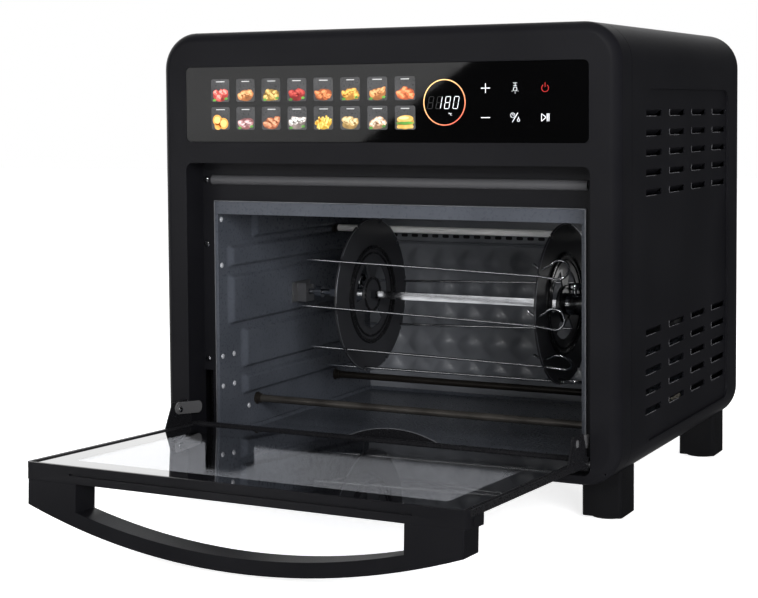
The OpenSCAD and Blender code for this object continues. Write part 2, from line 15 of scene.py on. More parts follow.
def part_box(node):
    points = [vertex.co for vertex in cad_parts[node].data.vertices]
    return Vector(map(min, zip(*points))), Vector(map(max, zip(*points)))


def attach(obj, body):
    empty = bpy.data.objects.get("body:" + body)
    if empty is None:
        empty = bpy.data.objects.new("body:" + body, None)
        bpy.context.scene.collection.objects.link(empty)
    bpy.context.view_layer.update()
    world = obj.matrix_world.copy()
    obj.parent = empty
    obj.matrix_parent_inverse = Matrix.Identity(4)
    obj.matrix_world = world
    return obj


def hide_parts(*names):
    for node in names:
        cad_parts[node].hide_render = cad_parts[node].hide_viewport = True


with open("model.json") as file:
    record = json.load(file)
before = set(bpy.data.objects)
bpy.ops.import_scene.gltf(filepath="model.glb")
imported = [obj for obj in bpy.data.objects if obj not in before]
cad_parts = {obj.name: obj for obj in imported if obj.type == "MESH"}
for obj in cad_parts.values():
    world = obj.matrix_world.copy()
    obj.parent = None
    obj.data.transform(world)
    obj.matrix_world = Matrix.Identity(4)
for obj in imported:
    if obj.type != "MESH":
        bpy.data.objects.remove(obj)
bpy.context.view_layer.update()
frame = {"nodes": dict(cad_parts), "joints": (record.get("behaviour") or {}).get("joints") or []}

MM = 0.001
NODES = frame["nodes"]
JOINTS = {joint["name"]: joint for joint in frame["joints"]}
TURN = 2 * math.pi
QUARTER = math.pi / 2
SIDES = {-1: "left", 1: "right"}


# ---- frames ----

BEZEL_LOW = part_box("front_bezel")[0]
TO_METRES = Matrix.Scale(MM, 4)
HOUSING = Matrix.Translation((0, BEZEL_LOW.y, BEZEL_LOW.z)) @ TO_METRES

DOOR_TILT = math.radians(90 - JOINTS["door_hinge"]["range_deg"][1])
DOOR = (Matrix.Translation(JOINTS["door_hinge"]["pos_m"])
        @ Matrix.Rotation(-DOOR_TILT, 4, "X") @ TO_METRES)
SPIT = Matrix.Translation(JOINTS["spit_turn"]["pos_m"]) @ TO_METRES


def inner_size(node, place):
    """Lowest and highest corner of a CAD node, in one of the frames above, in millimetres."""
    back = place.inverted()
    points = [back @ v.co for v in NODES[node].data.vertices]
    low = Vector([min(p[i] for p in points) for i in range(3)])
    high = Vector([max(p[i] for p in points) for i in range(3)])
    return low, high


SHELL_LOW, SHELL_HIGH = inner_size("outer_shell", HOUSING)
GLASS_LOW, GLASS_HIGH = inner_size("control_glass", HOUSING)
LINER_LOW, LINER_HIGH = inner_size("cavity_left_wall", HOUSING)
TRAY_HIGH = inner_size("crumb_tray", HOUSING)[1]


# ---- material helpers ----

def set_inputs(tree, node, inputs):
    """Sets inputs by name or number: a socket is linked, anything else is a fixed value."""
    for key, value in inputs.items():
        if isinstance(value, bpy.types.NodeSocket):
            tree.links.new(value, node.inputs[key])
        else:
            node.inputs[key].default_value = value


def add_node(tree, kind, inputs, **settings):
    node = tree.nodes.new("ShaderNode" + kind)
    for name, value in settings.items():
        setattr(node, name, value)
    set_inputs(tree, node, inputs)
    return node


def new_material(name):
    """A material, its node tree and its shader."""
    material = bpy.data.materials.new(name)
    material.use_nodes = True
    tree = material.node_tree
    return material, tree, tree.nodes["Principled BSDF"]


def noise(tree, scale, detail=4.0, stretch=(1, 1, 1)):
    """Noise in the object's own coordinates, in metres; scale is in grains per metre."""
    place = add_node(tree, "TexCoord", {}).outputs["Object"]
    mapping = add_node(tree, "Mapping", {"Vector": place, "Scale": stretch})
    texture = add_node(tree, "TexNoise", {"Vector": mapping.outputs["Vector"],
                                          "Scale": scale, "Detail": detail})
    return texture.outputs["Fac"]


def ramp(tree, value, places, colours):
    """Colour that runs between two colours at two places of a value."""
    node = add_node(tree, "ValToRGB", {"Fac": value})
    for element, place, colour in zip(node.color_ramp.elements, places, colours):
        element.position = place
        element.color = (*colour, 1)
    return node.outputs["Color"]


def map_range(tree, value, source, target):
    """Maps a value's source range on to a target range, held at both ends."""
    node = add_node(tree, "MapRange", {"Value": value, "From Min": source[0],
                                       "From Max": source[1], "To Min": target[0],
                                       "To Max": target[1]})
    return node.outputs["Result"]


NOISE_SPAN = (0.3, 0.7)


def surface(name, dark, light, rough, metallic=0.0, grain=900, bump=0.05, stretch=(1, 1, 1),
            patch=12, coat=0.0, specular=0.5):
    """Principled material whose colour, gloss and relief all vary with noise.

    dark and light bound the colour, rough is (low, high), grain is the fine relief's scale and
    patch the scale of the colour's drift.
    """
    material, tree, shader = new_material(name)
    drift = noise(tree, patch, 3, stretch)
    fine = noise(tree, grain, 5, stretch)
    relief = add_node(tree, "Bump", {"Height": fine, "Strength": bump, "Distance": 0.0004})
    set_inputs(tree, shader, {
        "Base Color": ramp(tree, drift, NOISE_SPAN, (dark, light)),
        "Roughness": map_range(tree, fine, NOISE_SPAN, rough),
        "Normal": relief.outputs["Normal"], "Metallic": metallic, "Coat Weight": coat,
        "Specular IOR Level": specular})
    return material


def light_up(material, colour, strength):
    """Gives a material its own light; colour and strength are sockets or fixed values."""
    tree = material.node_tree
    set_inputs(tree, tree.nodes["Principled BSDF"],
               {"Emission Color": colour, "Emission Strength": strength})
    return material


def glowing(name, dark, light, strength):
    """Lit print: coloured by a soft noise, with its own light."""
    material = surface(name, dark, light, (0.3, 0.4), patch=160)
    shader = material.node_tree.nodes["Principled BSDF"]
    return light_up(material, shader.inputs["Base Color"].links[0].from_socket, strength)


def frame_mask(tree, half_x, y_range, corner):
    """1 inside a rounded rectangle in the object's x and y, 0 outside, in metres."""
    place = add_node(tree, "TexCoord", {}).outputs["Object"]
    parts = add_node(tree, "SeparateXYZ", {"Vector": place}).outputs

    def maths(operation, *values):
        node = add_node(tree, "Math", dict(enumerate(values)), operation=operation)
        return node.outputs["Value"]

    middle = (y_range[0] + y_range[1]) / 2
    half_y = (y_range[1] - y_range[0]) / 2
    over = []
    for offset, half in ((parts["X"], half_x),
                         (maths("SUBTRACT", parts["Y"], middle), half_y)):
        beyond = maths("SUBTRACT", maths("ABSOLUTE", offset), half - corner)
        beyond = maths("MAXIMUM", beyond, 0.0)
        over.append(maths("MULTIPLY", beyond, beyond))
    return maths("LESS_THAN", maths("SQRT", maths("ADD", *over)), corner)


def smoked_pane(name):
    """Door glass: smoked and clear in the window, printed black round its edge."""
    material, tree, shader = new_material(name)
    low, high = inner_size("door_pane", DOOR)
    side, front, rear, corner = 22.0, 22.0, 40.0, 3.0
    print_black, smoke = (0.004, 0.004, 0.005), (0.36, 0.37, 0.4)
    rows = [(DOOR @ Vector((0, y, 0))).y for y in (low.y + front, high.y - rear)]
    window = frame_mask(tree, (high.x - side) * MM, rows, corner * MM)
    set_inputs(tree, shader, {
        "Base Color": ramp(tree, window, (0, 1), (print_black, smoke)),
        "Transmission Weight": window,
        "Roughness": map_range(tree, noise(tree, 9), NOISE_SPAN, (0.015, 0.05)),
        "IOR": 1.52, "Specular IOR Level": 0.75, "Coat Weight": 0.6,
        "Coat Roughness": 0.02})
    return material


# ---- materials of the body and the door ----

BLACK_PAINT = surface("black_paint", (0.0042, 0.0042, 0.0054), (0.0062, 0.0062, 0.0076),
                      (0.42, 0.52), grain=1500, bump=0.12, specular=0.22)
BLACK_STEEL = surface("black_steel", (0.005, 0.005, 0.006), (0.009, 0.009, 0.010),
                      (0.24, 0.34), grain=700, bump=0.05, specular=0.35)
RAIL_PLASTIC = surface("rail_plastic", (0.0038, 0.0038, 0.0048), (0.0058, 0.0058, 0.0070),
                       (0.34, 0.44), grain=2200, bump=0.1, specular=0.25)
FOOT_PLASTIC = surface("foot_plastic", (0.0032, 0.0032, 0.004), (0.0055, 0.0055, 0.006),
                       (0.45, 0.6), grain=1800, bump=0.15, specular=0.25)
RUBBER = surface("rubber", (0.004, 0.004, 0.004), (0.008, 0.008, 0.008), (0.7, 0.9),
                 grain=1200, bump=0.3)
# Black paint coloured about ten times lighter, as a painted highlight along the louvres' edges
EDGE_HIGHLIGHT_PAINT = surface("painted_edge_highlight", (0.050, 0.050, 0.054), (0.080, 0.080, 0.086),
                       (0.3, 0.42))
BAR_GREY = surface("bar_grey", (0.045, 0.045, 0.048), (0.062, 0.062, 0.066), (0.35, 0.45),
                   grain=800, stretch=(0.05, 1, 1))
PANE = smoked_pane("door_glass")

# ---- materials of the cavity and the rotisserie ----

ENAMEL = surface("enamel", (0.043, 0.048, 0.059), (0.056, 0.062, 0.075), (0.24, 0.36),
                 grain=420, bump=0.04, patch=25, coat=0.08, specular=0.34)
# Back wall: the cavity's enamel coloured about three times lighter than on the other walls, as
# painted light
QUILT_PAINTED_LIGHT = surface("quilted_enamel_painted_light", (0.12, 0.127, 0.142), (0.16, 0.168, 0.185), (0.34, 0.44),
                grain=420, bump=0.04, patch=25, coat=0.1)
# Near black for patches that stand in for shaded openings: painted shade
SLOT_PAINTED_SHADE = surface("slot_painted_shade", (0.002, 0.002, 0.002), (0.005, 0.005, 0.005), (0.6, 0.8))
# Bare steel, light against the enamel and the disc coat, that also stands in as a painted
# highlight on thin edges
STEEL_AND_EDGE_HIGHLIGHT = surface("steel_and_edge_highlight", (0.24, 0.25, 0.27), (0.34, 0.35, 0.38), (0.3, 0.42),
                     metallic=0.85, grain=600)
# Rivets: light grey, barely metallic, as a painted glint in place of the chrome's own reflections
RIVET_PAINTED_GLINT = surface("rivet", (0.30, 0.31, 0.33), (0.46, 0.47, 0.50), (0.2, 0.32), metallic=0.3,
                grain=500)
CHROME = surface("chrome", (0.42, 0.43, 0.45), (0.60, 0.61, 0.63), (0.08, 0.2), metallic=1.0,
                 grain=300, bump=0.02, stretch=(0.2, 1, 1))
WIRE = surface("wire", (0.55, 0.56, 0.58), (0.8, 0.81, 0.83), (0.14, 0.26), metallic=1.0,
               grain=500, bump=0.04)
HEATER = surface("heater_sheath", (0.055, 0.050, 0.046), (0.125, 0.116, 0.106), (0.32, 0.5),
                 metallic=0.75, grain=500, patch=30)
# Upper heaters: the same steel sheath coloured near white, a painted reflection of the bright
# light it mirrors
HEATER_PAINTED_REFLECTION = surface("sheath_painted_reflection", (0.86, 0.85, 0.84), (0.96, 0.95, 0.94), (0.34, 0.42),
                        grain=120, bump=0.01, patch=20)
DARK_HEATER = surface("dark_sheath", (0.016, 0.014, 0.012), (0.035, 0.030, 0.026),
                      (0.3, 0.45), metallic=0.6, grain=500, patch=30)
DISC = surface("disc_coat", (0.012, 0.012, 0.014), (0.022, 0.023, 0.026), (0.28, 0.42),
               bump=0.15, coat=0.2)
DISC_BEAD = surface("disc_bead", (0.003, 0.003, 0.003), (0.006, 0.006, 0.007), (0.2, 0.32),
                    bump=0.1, coat=0.3)

# ---- materials of the inner works ----

CERAMIC = surface("ceramic", (0.30, 0.28, 0.24), (0.40, 0.37, 0.32), (0.25, 0.4), grain=300,
                  bump=0.1)
STEEL = surface("steel", (0.30, 0.30, 0.31), (0.46, 0.46, 0.47), (0.28, 0.42), metallic=0.95,
                stretch=(1, 0.1, 1))
ARM_STEEL = surface("arm_steel", (0.10, 0.10, 0.105), (0.16, 0.16, 0.165), (0.35, 0.5),
                    metallic=0.4)
BOARD = surface("board", (0.01, 0.07, 0.03), (0.02, 0.12, 0.05), (0.35, 0.5), grain=400)
COOLER = surface("cooler", (0.02, 0.021, 0.023), (0.03, 0.032, 0.034), (0.4, 0.5))
LENS = surface("lens", (0.5, 0.5, 0.48), (0.62, 0.62, 0.6), (0.2, 0.35), grain=250, bump=0.3)

# ---- materials of the control strip ----

STRIP_GLASS = surface("strip_glass", (0.0004, 0.0004, 0.0005), (0.0008, 0.0008, 0.0009),
                      (0.02, 0.045), grain=60, bump=0.003, specular=0.4)
TILE = surface("key_tile", (0.035, 0.035, 0.036), (0.062, 0.062, 0.064), (0.25, 0.35),
               patch=70)
GREENS = glowing("greens", (0.04, 0.14, 0.02), (0.12, 0.34, 0.05), 0.3)
CREAM = glowing("cream", (0.5, 0.5, 0.5), (0.6, 0.6, 0.6), 0.2)
WHITE_PRINT = glowing("white_print", (0.72, 0.74, 0.78), (0.86, 0.88, 0.92), 0.75)
GHOST_PRINT = surface("ghost_print", (0.016, 0.016, 0.017), (0.028, 0.028, 0.029), (0.3, 0.4))
RED_PRINT = glowing("red_print", (0.30, 0.012, 0.012), (0.42, 0.02, 0.018), 0.7)

NODE_LOOKS = {
    BLACK_PAINT: ["front_bezel", "outer_shell", "rear_cover", "base_plate", "front_frame"],
    BLACK_STEEL: ["door_trim_left", "door_trim_right", "door_hinge_rail"],
    RAIL_PLASTIC: ["door_front_rail", "door_handle", "door_plugs"],
    FOOT_PLASTIC: ["foot_front_left", "foot_front_right", "foot_rear_left",
                   "foot_rear_right"],
    RUBBER: ["foot_pads", "cord_gland"],
    STRIP_GLASS: ["control_glass"],
    ENAMEL: ["cavity_left_wall", "cavity_right_wall", "cavity_back_wall", "cavity_roof",
             "cavity_floor", "crumb_tray"],
    BAR_GREY: ["seal_bar"],
    CHROME: ["spit_bar", "drive_coupling", "disc_hubs", "thumb_screws", "frame_screws",
             "cavity_rivets"],
    WIRE: ["fan_guard"] + [f"skewer_{number}" for number in range(1, 7)],
    HEATER: ["heater_lower_front"],
    HEATER_PAINTED_REFLECTION: ["heater_upper_rear", "heater_upper_front"],
    DARK_HEATER: ["heater_lower_rear"],
    CERAMIC: ["heater_terminals"],
    STEEL: ["fan_dome", "fan_motor", "fan_wheel", "lamp_socket", "spit_motor",
            "hinge_mount_left", "hinge_mount_right", "handle_screws"],
    ARM_STEEL: ["spit_cradle", "hinge_arm_left", "hinge_arm_right"],
    BOARD: ["control_board"],
    COOLER: ["cooling_wheel"],
    LENS: ["lamp_lens"],
    DISC: ["disc_left", "disc_right"],
    PANE: ["door_pane"],
}


def dress_nodes():
    """Gives every CAD node its material."""
    for look, names in NODE_LOOKS.items():
        for name in names:
            mesh = NODES[name].data
            mesh.materials.clear()
            mesh.materials.append(look)


# ---- mesh helpers ----

def piece(name, mesh, place, body, look, smooth=True):
    """Makes an object from a mesh in millimetres in one of the frames, riding on a body."""
    mesh.transform(place)
    mesh.update()
    obj = bpy.data.objects.new(name, mesh)
    bpy.context.scene.collection.objects.link(obj)
    mesh.materials.append(look)
    if smooth:
        mesh.shade_smooth()
        mesh.set_sharp_from_angle(angle=math.radians(38))
    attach(obj, body)
    return obj


def mesh_from(name, vertices, faces):
    mesh = bpy.data.meshes.new(name)
    mesh.from_pydata([tuple(v) for v in vertices], [], faces)
    mesh.validate()
    return mesh


class Parts:
    """Collects vertices and faces of several separate solids into one mesh."""

    def __init__(self):
        self.vertices = []
        self.faces = []

    def add(self, vertices, faces):
        start = len(self.vertices)
        self.vertices += [Vector(v) for v in vertices]
        self.faces += [[start + i for i in face] for face in faces]

    def prism(self, outline, low, high, axis="y"):
        """Extrudes a flat outline of (a, b) points between two levels along x or y."""
        order = {"x": lambda a, b, c: (c, a, b), "y": lambda a, b, c: (a, c, b)}[axis]
        count = len(outline)
        points = [order(a, b, level) for level in (low, high) for a, b in outline]
        faces = [list(range(count))[::-1], list(range(count, 2 * count))]
        faces += [[i, (i + 1) % count, count + (i + 1) % count, count + i]
                  for i in range(count)]
        if axis == "y":
            faces = [face[::-1] for face in faces]
        self.add(points, faces)

    def tube(self, points, radius, sides=10, closed=False, taper=0):
        """Round wire through points; the first taper points narrow to a tip."""
        points = [Vector(p) for p in points]
        count = len(points)
        rings = []
        up = Vector((0.13, 0.31, 0.94))
        for i, point in enumerate(points):
            before = points[i - 1] if closed or i else point
            after = points[(i + 1) % count] if closed or i < count - 1 else point
            run = (after - before).normalized()
            side = run.cross(up).normalized()
            up = side.cross(run).normalized()
            size = radius * (0.25 + 0.75 * i / taper if i < taper else 1)
            rings.append([point + size * (math.cos(t) * side + math.sin(t) * up)
                          for t in (TURN * k / sides for k in range(sides))])
        vertices = [v for ring in rings for v in ring]
        spans = count if closed else count - 1
        faces = []
        for i in range(spans):
            faces += band(i * sides, (i + 1) % count * sides, sides)
        if not closed:
            faces += [list(range(sides))[::-1],
                      [(count - 1) * sides + k for k in range(sides)]]
        self.add(vertices, faces)

    def lathe(self, profile, place, sides=40):
        """Turns a profile of (radius, height) points about a local Z, then places it."""
        vertices, faces = [], []
        for r, h in profile:
            vertices += [place @ Vector((r * math.cos(t), r * math.sin(t), h))
                         for t in (TURN * k / sides for k in range(sides))]
        for i in range(len(profile) - 1):
            faces += band(i * sides, (i + 1) * sides, sides)
        last = (len(profile) - 1) * sides
        faces += [list(range(sides))[::-1], [last + k for k in range(sides)]]
        self.add(vertices, faces)

    def mesh(self, name):
        return mesh_from(name, self.vertices, self.faces)

    def build(self, name, look, body="housing", place=HOUSING, smooth=True):
        return piece(name, self.mesh(name), place, body, look, smooth)


def band(a, b, sides):
    """Faces between two rings of vertices that start at a and b."""
    return [[a + k, a + (k + 1) % sides, b + (k + 1) % sides, b + k] for k in range(sides)]


def grid_faces(columns, rows, flip=False):
    """Faces of a grid whose points run along its columns, row by row."""
    faces = []
    for j in range(rows):
        for i in range(columns):
            a = j * (columns + 1) + i
            face = [a, a + 1, a + columns + 2, a + columns + 1]
            faces.append(face[::-1] if flip else face)
    return faces


def circle_points(cx, cz, r, count=24, start=0.0, turn=TURN):
    steps = count if turn >= TURN else count - 1
    return [(cx + r * math.cos(start + turn * k / steps),
             cz + r * math.sin(start + turn * k / steps)) for k in range(count)]


def round_box(x0, z0, x1, z1, r, count=5):
    points = []
    for cx, cz, start in ((x1 - r, z0 + r, -QUARTER), (x1 - r, z1 - r, 0),
                          (x0 + r, z1 - r, QUARTER), (x0 + r, z0 + r, 2 * QUARTER)):
        points += circle_points(cx, cz, r, count=count, start=start, turn=QUARTER)
    return points


def wall_strip(side, inner, outer, low, high):
    """Upright rectangle in x and z on one side of the oven, wound for Parts.prism."""
    return [(side * inner, low), (side * outer, low), (side * outer, high),
            (side * inner, high)][::side]


def along(axis, at):
    """Turns a lathe's Z on to an axis, at a point."""
    turns = {"x": Matrix.Rotation(QUARTER, 4, "Y"), "-x": Matrix.Rotation(-QUARTER, 4, "Y"),
             "-y": Matrix.Rotation(QUARTER, 4, "X"), "z": Matrix.Identity(4)}
    return Matrix.Translation(at) @ turns[axis]


def inward(side, at):
    """Turns a lathe's Z from a side wall towards the middle of the oven."""
    return along("x" if side < 0 else "-x", at)


def rounded_copy(node, width, body, look, segments=3):
    """Copy of a CAD node with its hard edges rounded, shown in the node's place."""
    mesh = NODES[node].data.copy()
    mesh.name = node + "_rounded"
    mesh.materials.clear()
    shape = bmesh.new()
    shape.from_mesh(mesh)
    bmesh.ops.remove_doubles(shape, verts=shape.verts, dist=2e-6)
    bmesh.ops.dissolve_limit(shape, angle_limit=math.radians(1.0), verts=shape.verts,
                             edges=shape.edges)
    shape.to_mesh(mesh)
    shape.free()
    obj = piece(node + "_rounded", mesh, Matrix.Identity(4), body, look)
    bevel = obj.modifiers.new("edges", "BEVEL")
    bevel.width = width * MM
    bevel.segments = segments
    bevel.limit_method = "ANGLE"
    bevel.angle_limit = math.radians(32)
    bevel.harden_normals = True
    bevel.use_clamp_overlap = True
    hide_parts(node)


def round_edges():
    """Rounds the edges of the CAD nodes that are seen close up."""
    rounded_copy("door_handle", 2.2, "door", RAIL_PLASTIC, 4)
    rounded_copy("door_front_rail", 0.9, "door", RAIL_PLASTIC)
    rounded_copy("hinge_arm_left", 0.35, "door", ARM_STEEL, 2)
    rounded_copy("hinge_arm_right", 0.35, "door", ARM_STEEL, 2)
    for corner in ("front_left", "front_right", "rear_left", "rear_right"):
        rounded_copy("foot_" + corner, 1.2, "housing", FOOT_PLASTIC)
    rounded_copy("spit_cradle", 0.35, "housing", STEEL, 2)
    rounded_copy("drive_coupling", 0.8, "spit", CHROME)
    rounded_copy("disc_hubs", 0.8, "spit", CHROME)


# ---- door ----

def door_edges():
    """Rounded profiles along the door's side edges, with domed front ends."""
    radius, out, rise = 3.2, 172.0, 1.3
    rear, short = -9.5, 9.0
    length = -inner_size("door_pane", DOOR)[0].y - short
    profiles = Parts()
    for side in SIDES:
        profiles.lathe([(radius, 0), (radius, length - 2.4), (2.8, length - 1.0),
                        (1.8, length - 0.25), (0.3, length)],
                       along("-y", (side * out, rear, rise)), 24)
    profiles.build("door_edge_profiles", BLACK_STEEL, "door", DOOR)


def arm_rivets():
    """Domed rivet on the inner face of each hinge arm."""
    inset = 6.0
    for side, word in SIDES.items():
        low, high = inner_size(f"hinge_arm_{word}", HOUSING)
        face = high.x if side < 0 else low.x
        head = Parts()
        head.lathe([(2.4, -0.1), (2.3, 0.4), (1.8, 0.9), (1.0, 1.2), (0.3, 1.3)],
                   inward(side, (face, low.y + inset, high.z - inset)), 24)
        head.build(f"arm_rivet_{word}", CHROME, "door")


# ---- control strip: prints ----

# Depths of the prints in front of the glass, each from its outer face to its inner one
ON_GLASS = (-0.12, -0.02)
ON_TILE = (-0.13, -0.12)
MARK_DEPTH = (-0.16, -0.12)
FOOD_DEPTH = (-0.16, -0.13)
SHINE_DEPTH = (-0.2, -0.16)
GARNISH_DEPTH = (-0.22, -0.2)


def printed(name, outlines, look, depth=ON_GLASS):
    """Thin raised print on the control glass from a list of (x, z) outlines."""
    parts = Parts()
    for outline in outlines:
        parts.prism(outline, *depth)
    parts.build(name, look, smooth=False)


def mix(a, b, share):
    """Colour between a and b, with the given share of b."""
    return tuple(p * (1 - share) + q * share for p, q in zip(a, b))


def dim(colour, factor):
    return tuple(factor * c for c in colour)


# ---- control strip: food keys ----

GLASS_MID = (GLASS_LOW.z + GLASS_HIGH.z) / 2
KEYS_IN_ROW = 8
KEY_PITCH = 24.12
KEY_X = [GLASS_LOW.x + 33.2 + KEY_PITCH * i for i in range(KEYS_IN_ROW)]
KEY_ROWS = [GLASS_MID + 11.3, GLASS_MID - 11.5]
TILE_W, TILE_H, TILE_R = 17.6, 18.6, 1.8
MARK_RISE, MARK_THICK, MARK_HALF = 6.9, 0.6, 4.2

# Each food's name, dark colour and light colour, along the upper row and then the lower one
FOODS = [
    ("meat", (0.55, 0.06, 0.05), (0.85, 0.34, 0.28)),
    ("poultry", (0.45, 0.16, 0.05), (0.8, 0.45, 0.2)),
    ("fish", (0.35, 0.2, 0.04), (0.8, 0.55, 0.2)),
    ("steak", (0.3, 0.02, 0.02), (0.6, 0.1, 0.08)),
    ("wings", (0.4, 0.1, 0.03), (0.75, 0.3, 0.12)),
    ("roast", (0.45, 0.2, 0.03), (0.85, 0.5, 0.12)),
    ("cutlet", (0.45, 0.17, 0.05), (0.8, 0.42, 0.18)),
    ("pizza", (0.5, 0.1, 0.03), (0.85, 0.35, 0.15)),
    ("citrus", (0.65, 0.25, 0.03), (0.9, 0.55, 0.18)),
    ("frozen", (0.3, 0.12, 0.12), (0.7, 0.5, 0.5)),
    ("skewer", (0.35, 0.1, 0.04), (0.7, 0.35, 0.2)),
    ("dish", (0.25, 0.2, 0.18), (0.8, 0.78, 0.75)),
    ("fries", (0.7, 0.4, 0.04), (0.9, 0.68, 0.2)),
    ("nuggets", (0.4, 0.25, 0.08), (0.8, 0.62, 0.35)),
    ("bread", (0.4, 0.22, 0.12), (0.85, 0.7, 0.55)),
    ("sandwich", (0.55, 0.3, 0.05), (0.85, 0.65, 0.3)),
]


def key_tiles():
    """Rounded grey tile behind each food picture."""
    half_w, half_h = TILE_W / 2, TILE_H / 2
    tiles = [round_box(x - half_w, z - half_h, x + half_w, z + half_h, TILE_R)
             for z in KEY_ROWS for x in KEY_X]
    printed("key_tiles", tiles, TILE)


def key_marks():
    """Plain light bar of slightly varied length at the top of each tile."""
    marks = []
    for z in KEY_ROWS:
        for i, x in enumerate(KEY_X):
            left = x - MARK_HALF + 0.5 * (i % 3)
            right = x + MARK_HALF - 0.5 * (i % 2)
            low = z + MARK_RISE
            marks.append(round_box(left, low, right, low + MARK_THICK, 0.25))
    printed("key_marks", marks, CREAM, MARK_DEPTH)


def blob(cx, cz, rx, rz, lobes, depth, tilt=0.0, count=30):
    """Rounded, slightly lobed outline."""
    points = []
    for k in range(count):
        t = TURN * k / count
        r = 1 + depth * math.sin(lobes * t + tilt) + 0.4 * depth * math.sin(2 * t - tilt)
        x, z = rx * r * math.cos(t), rz * r * math.sin(t)
        points.append((cx + x * math.cos(tilt) - z * math.sin(tilt),
                       cz + x * math.sin(tilt) + z * math.cos(tilt)))
    return points


def sticks(rng, cx, cz, count, length, thick):
    """Short straight sticks lying at random angles."""
    outlines = []
    for _ in range(count):
        lean = rng.uniform(-1.1, 1.1)
        x, z = cx + rng.uniform(-4.6, 4.6), cz + rng.uniform(-2.2, 2.0)
        dx, dz = length / 2 * math.sin(lean), length / 2 * math.cos(lean)
        wx, wz = thick / 2 * math.cos(lean), -thick / 2 * math.sin(lean)
        outlines.append([(x - dx - wx, z - dz - wz), (x - dx + wx, z - dz + wz),
                         (x + dx + wx, z + dz + wz), (x + dx - wx, z + dz - wz)])
    return outlines


# A picture is four lists of outlines: a dark base, its lumps, their highlights and the greens

def citrus_picture(cx, cz):
    slices = [(cx - 3.2, cz + 2.2, 4.4), (cx + 2.8, cz - 0.6, 4.6), (cx - 2.6, cz - 2.6, 3.2)]
    return ([], [circle_points(x, z, r) for x, z, r in slices],
            [circle_points(x, z, r * 0.68) for x, z, r in slices[:2]], [])


def fries_picture(rng, cx, cz, base):
    return base, sticks(rng, cx, cz, 9, 8.2, 1.5), sticks(rng, cx, cz + 0.4, 9, 7.4, 0.9), []


def sandwich_picture(cx, cz, base):
    slices = [round_box(cx - 7.2, cz - 4.8, cx + 7.2, cz - 2.2, 1.2),
              blob(cx, cz + 2.6, 7.0, 2.9, 2, 0.05)]
    return (base, slices, [blob(cx - 1, cz + 3.4, 4.4, 1.1, 2, 0.05)],
            [blob(cx, cz - 0.6, 7.7, 1.2, 7, 0.15)])


def heap_picture(rng, cx, cz, base, index):
    """Row of lumps of random size and lean, with two highlights on each."""
    count = 4 + index % 3
    lumps, shine = [], []
    for i in range(count):
        x = cx + (i - (count - 1) / 2) * 12.0 / count + rng.uniform(-0.7, 0.7)
        z = cz + rng.uniform(-2.2, 2.6)
        rx, rz = rng.uniform(2.4, 3.4), rng.uniform(1.9, 3.0)
        tilt = rng.uniform(-0.7, 0.7)
        lumps.append(blob(x, z, rx, rz, 3 + i % 3, 0.1, tilt))
        shine.append(blob(x - 0.4, z + 0.7, rx * 0.6, rz * 0.42, 3, 0.12, tilt))
        shine.append(blob(x + 0.9, z - 0.9, rx * 0.3, rz * 0.22, 3, 0.12, tilt))
    greens = [blob(cx + side * 5.6, cz - 3.6 + 0.6 * side, 1.6, 1.0, 5, 0.2) for side in SIDES]
    return base, lumps, shine, greens if index % 3 != 1 else []


def food_outlines(index):
    """The picture in the lower part of one tile."""
    rng = random.Random(40 + index)
    cx = KEY_X[index % KEYS_IN_ROW]
    cz = KEY_ROWS[index // KEYS_IN_ROW] - 3.6
    base = [blob(cx + 0.3, cz - 0.6, 7.3, 4.6, 3 + index % 3, 0.05, 0.1)]
    kind = FOODS[index][0]
    if kind == "fries":
        return fries_picture(rng, cx, cz, base)
    if kind == "citrus":
        return citrus_picture(cx, cz)
    if kind == "sandwich":
        return sandwich_picture(cx, cz, base)
    return heap_picture(rng, cx, cz, base, index)


def food_pictures():
    """A generic picture on each tile, in layers, with all the greens in one piece."""
    garnish = []
    for index, (food, dark, light) in enumerate(FOODS):
        base, lumps, shine, greens = food_outlines(index)
        printed("food_" + food, lumps, glowing(food + "_tone", dark, mix(dark, light, 0.4), 0.25),
                FOOD_DEPTH)
        printed("shine_" + food, shine, glowing(food + "_shine", dim(light, 0.75), light, 0.4),
                SHINE_DEPTH)
        if base:
            printed("base_" + food, base, glowing(food + "_deep", dim(dark, 0.3), dark, 0.15),
                    ON_TILE)
        garnish += greens
    printed("garnish", garnish, GREENS, GARNISH_DEPTH)


# ---- control strip: display ----

DISPLAY = (GLASS_LOW.x + 235.6, GLASS_MID + 0.1)
RING_R, RING_HALF, RING_PARTS = 17.4, 0.4, 24

# Ends of the bars of a seven-segment digit in parts of its width and height
SEGMENTS = {"a": (0, 1, 1, 1), "b": (1, 1, 1, 0.5), "c": (1, 0.5, 1, 0), "d": (0, 0, 1, 0),
            "e": (0, 0.5, 0, 0), "f": (0, 1, 0, 0.5), "g": (0, 0.5, 1, 0.5)}
DIGITS = {" ": "", "1": "bc", "8": "abcdefg", "0": "abcdef"}
READING = " 180"
DIGIT_W, DIGIT_H = 3.9, 9.2
DIGIT_X = [DISPLAY[0] + offset for offset in (-14.4, -7.3, -0.2, 7.0)]
DIGIT_Z = DISPLAY[1] - 4.8
STROKE, SLANT, SEGMENT_GAP = 0.38, 0.19, 0.4

# Turn of an outline that runs round a whole ring, just short of meeting itself
RING = TURN - 0.01


def ring_outline(cx, cz, r0, r1, start=0.0, turn=RING, count=20):
    outer = circle_points(cx, cz, r1, count=count, start=start, turn=turn)
    inner = circle_points(cx, cz, r0, count=count, start=start, turn=turn)
    return outer + inner[::-1]


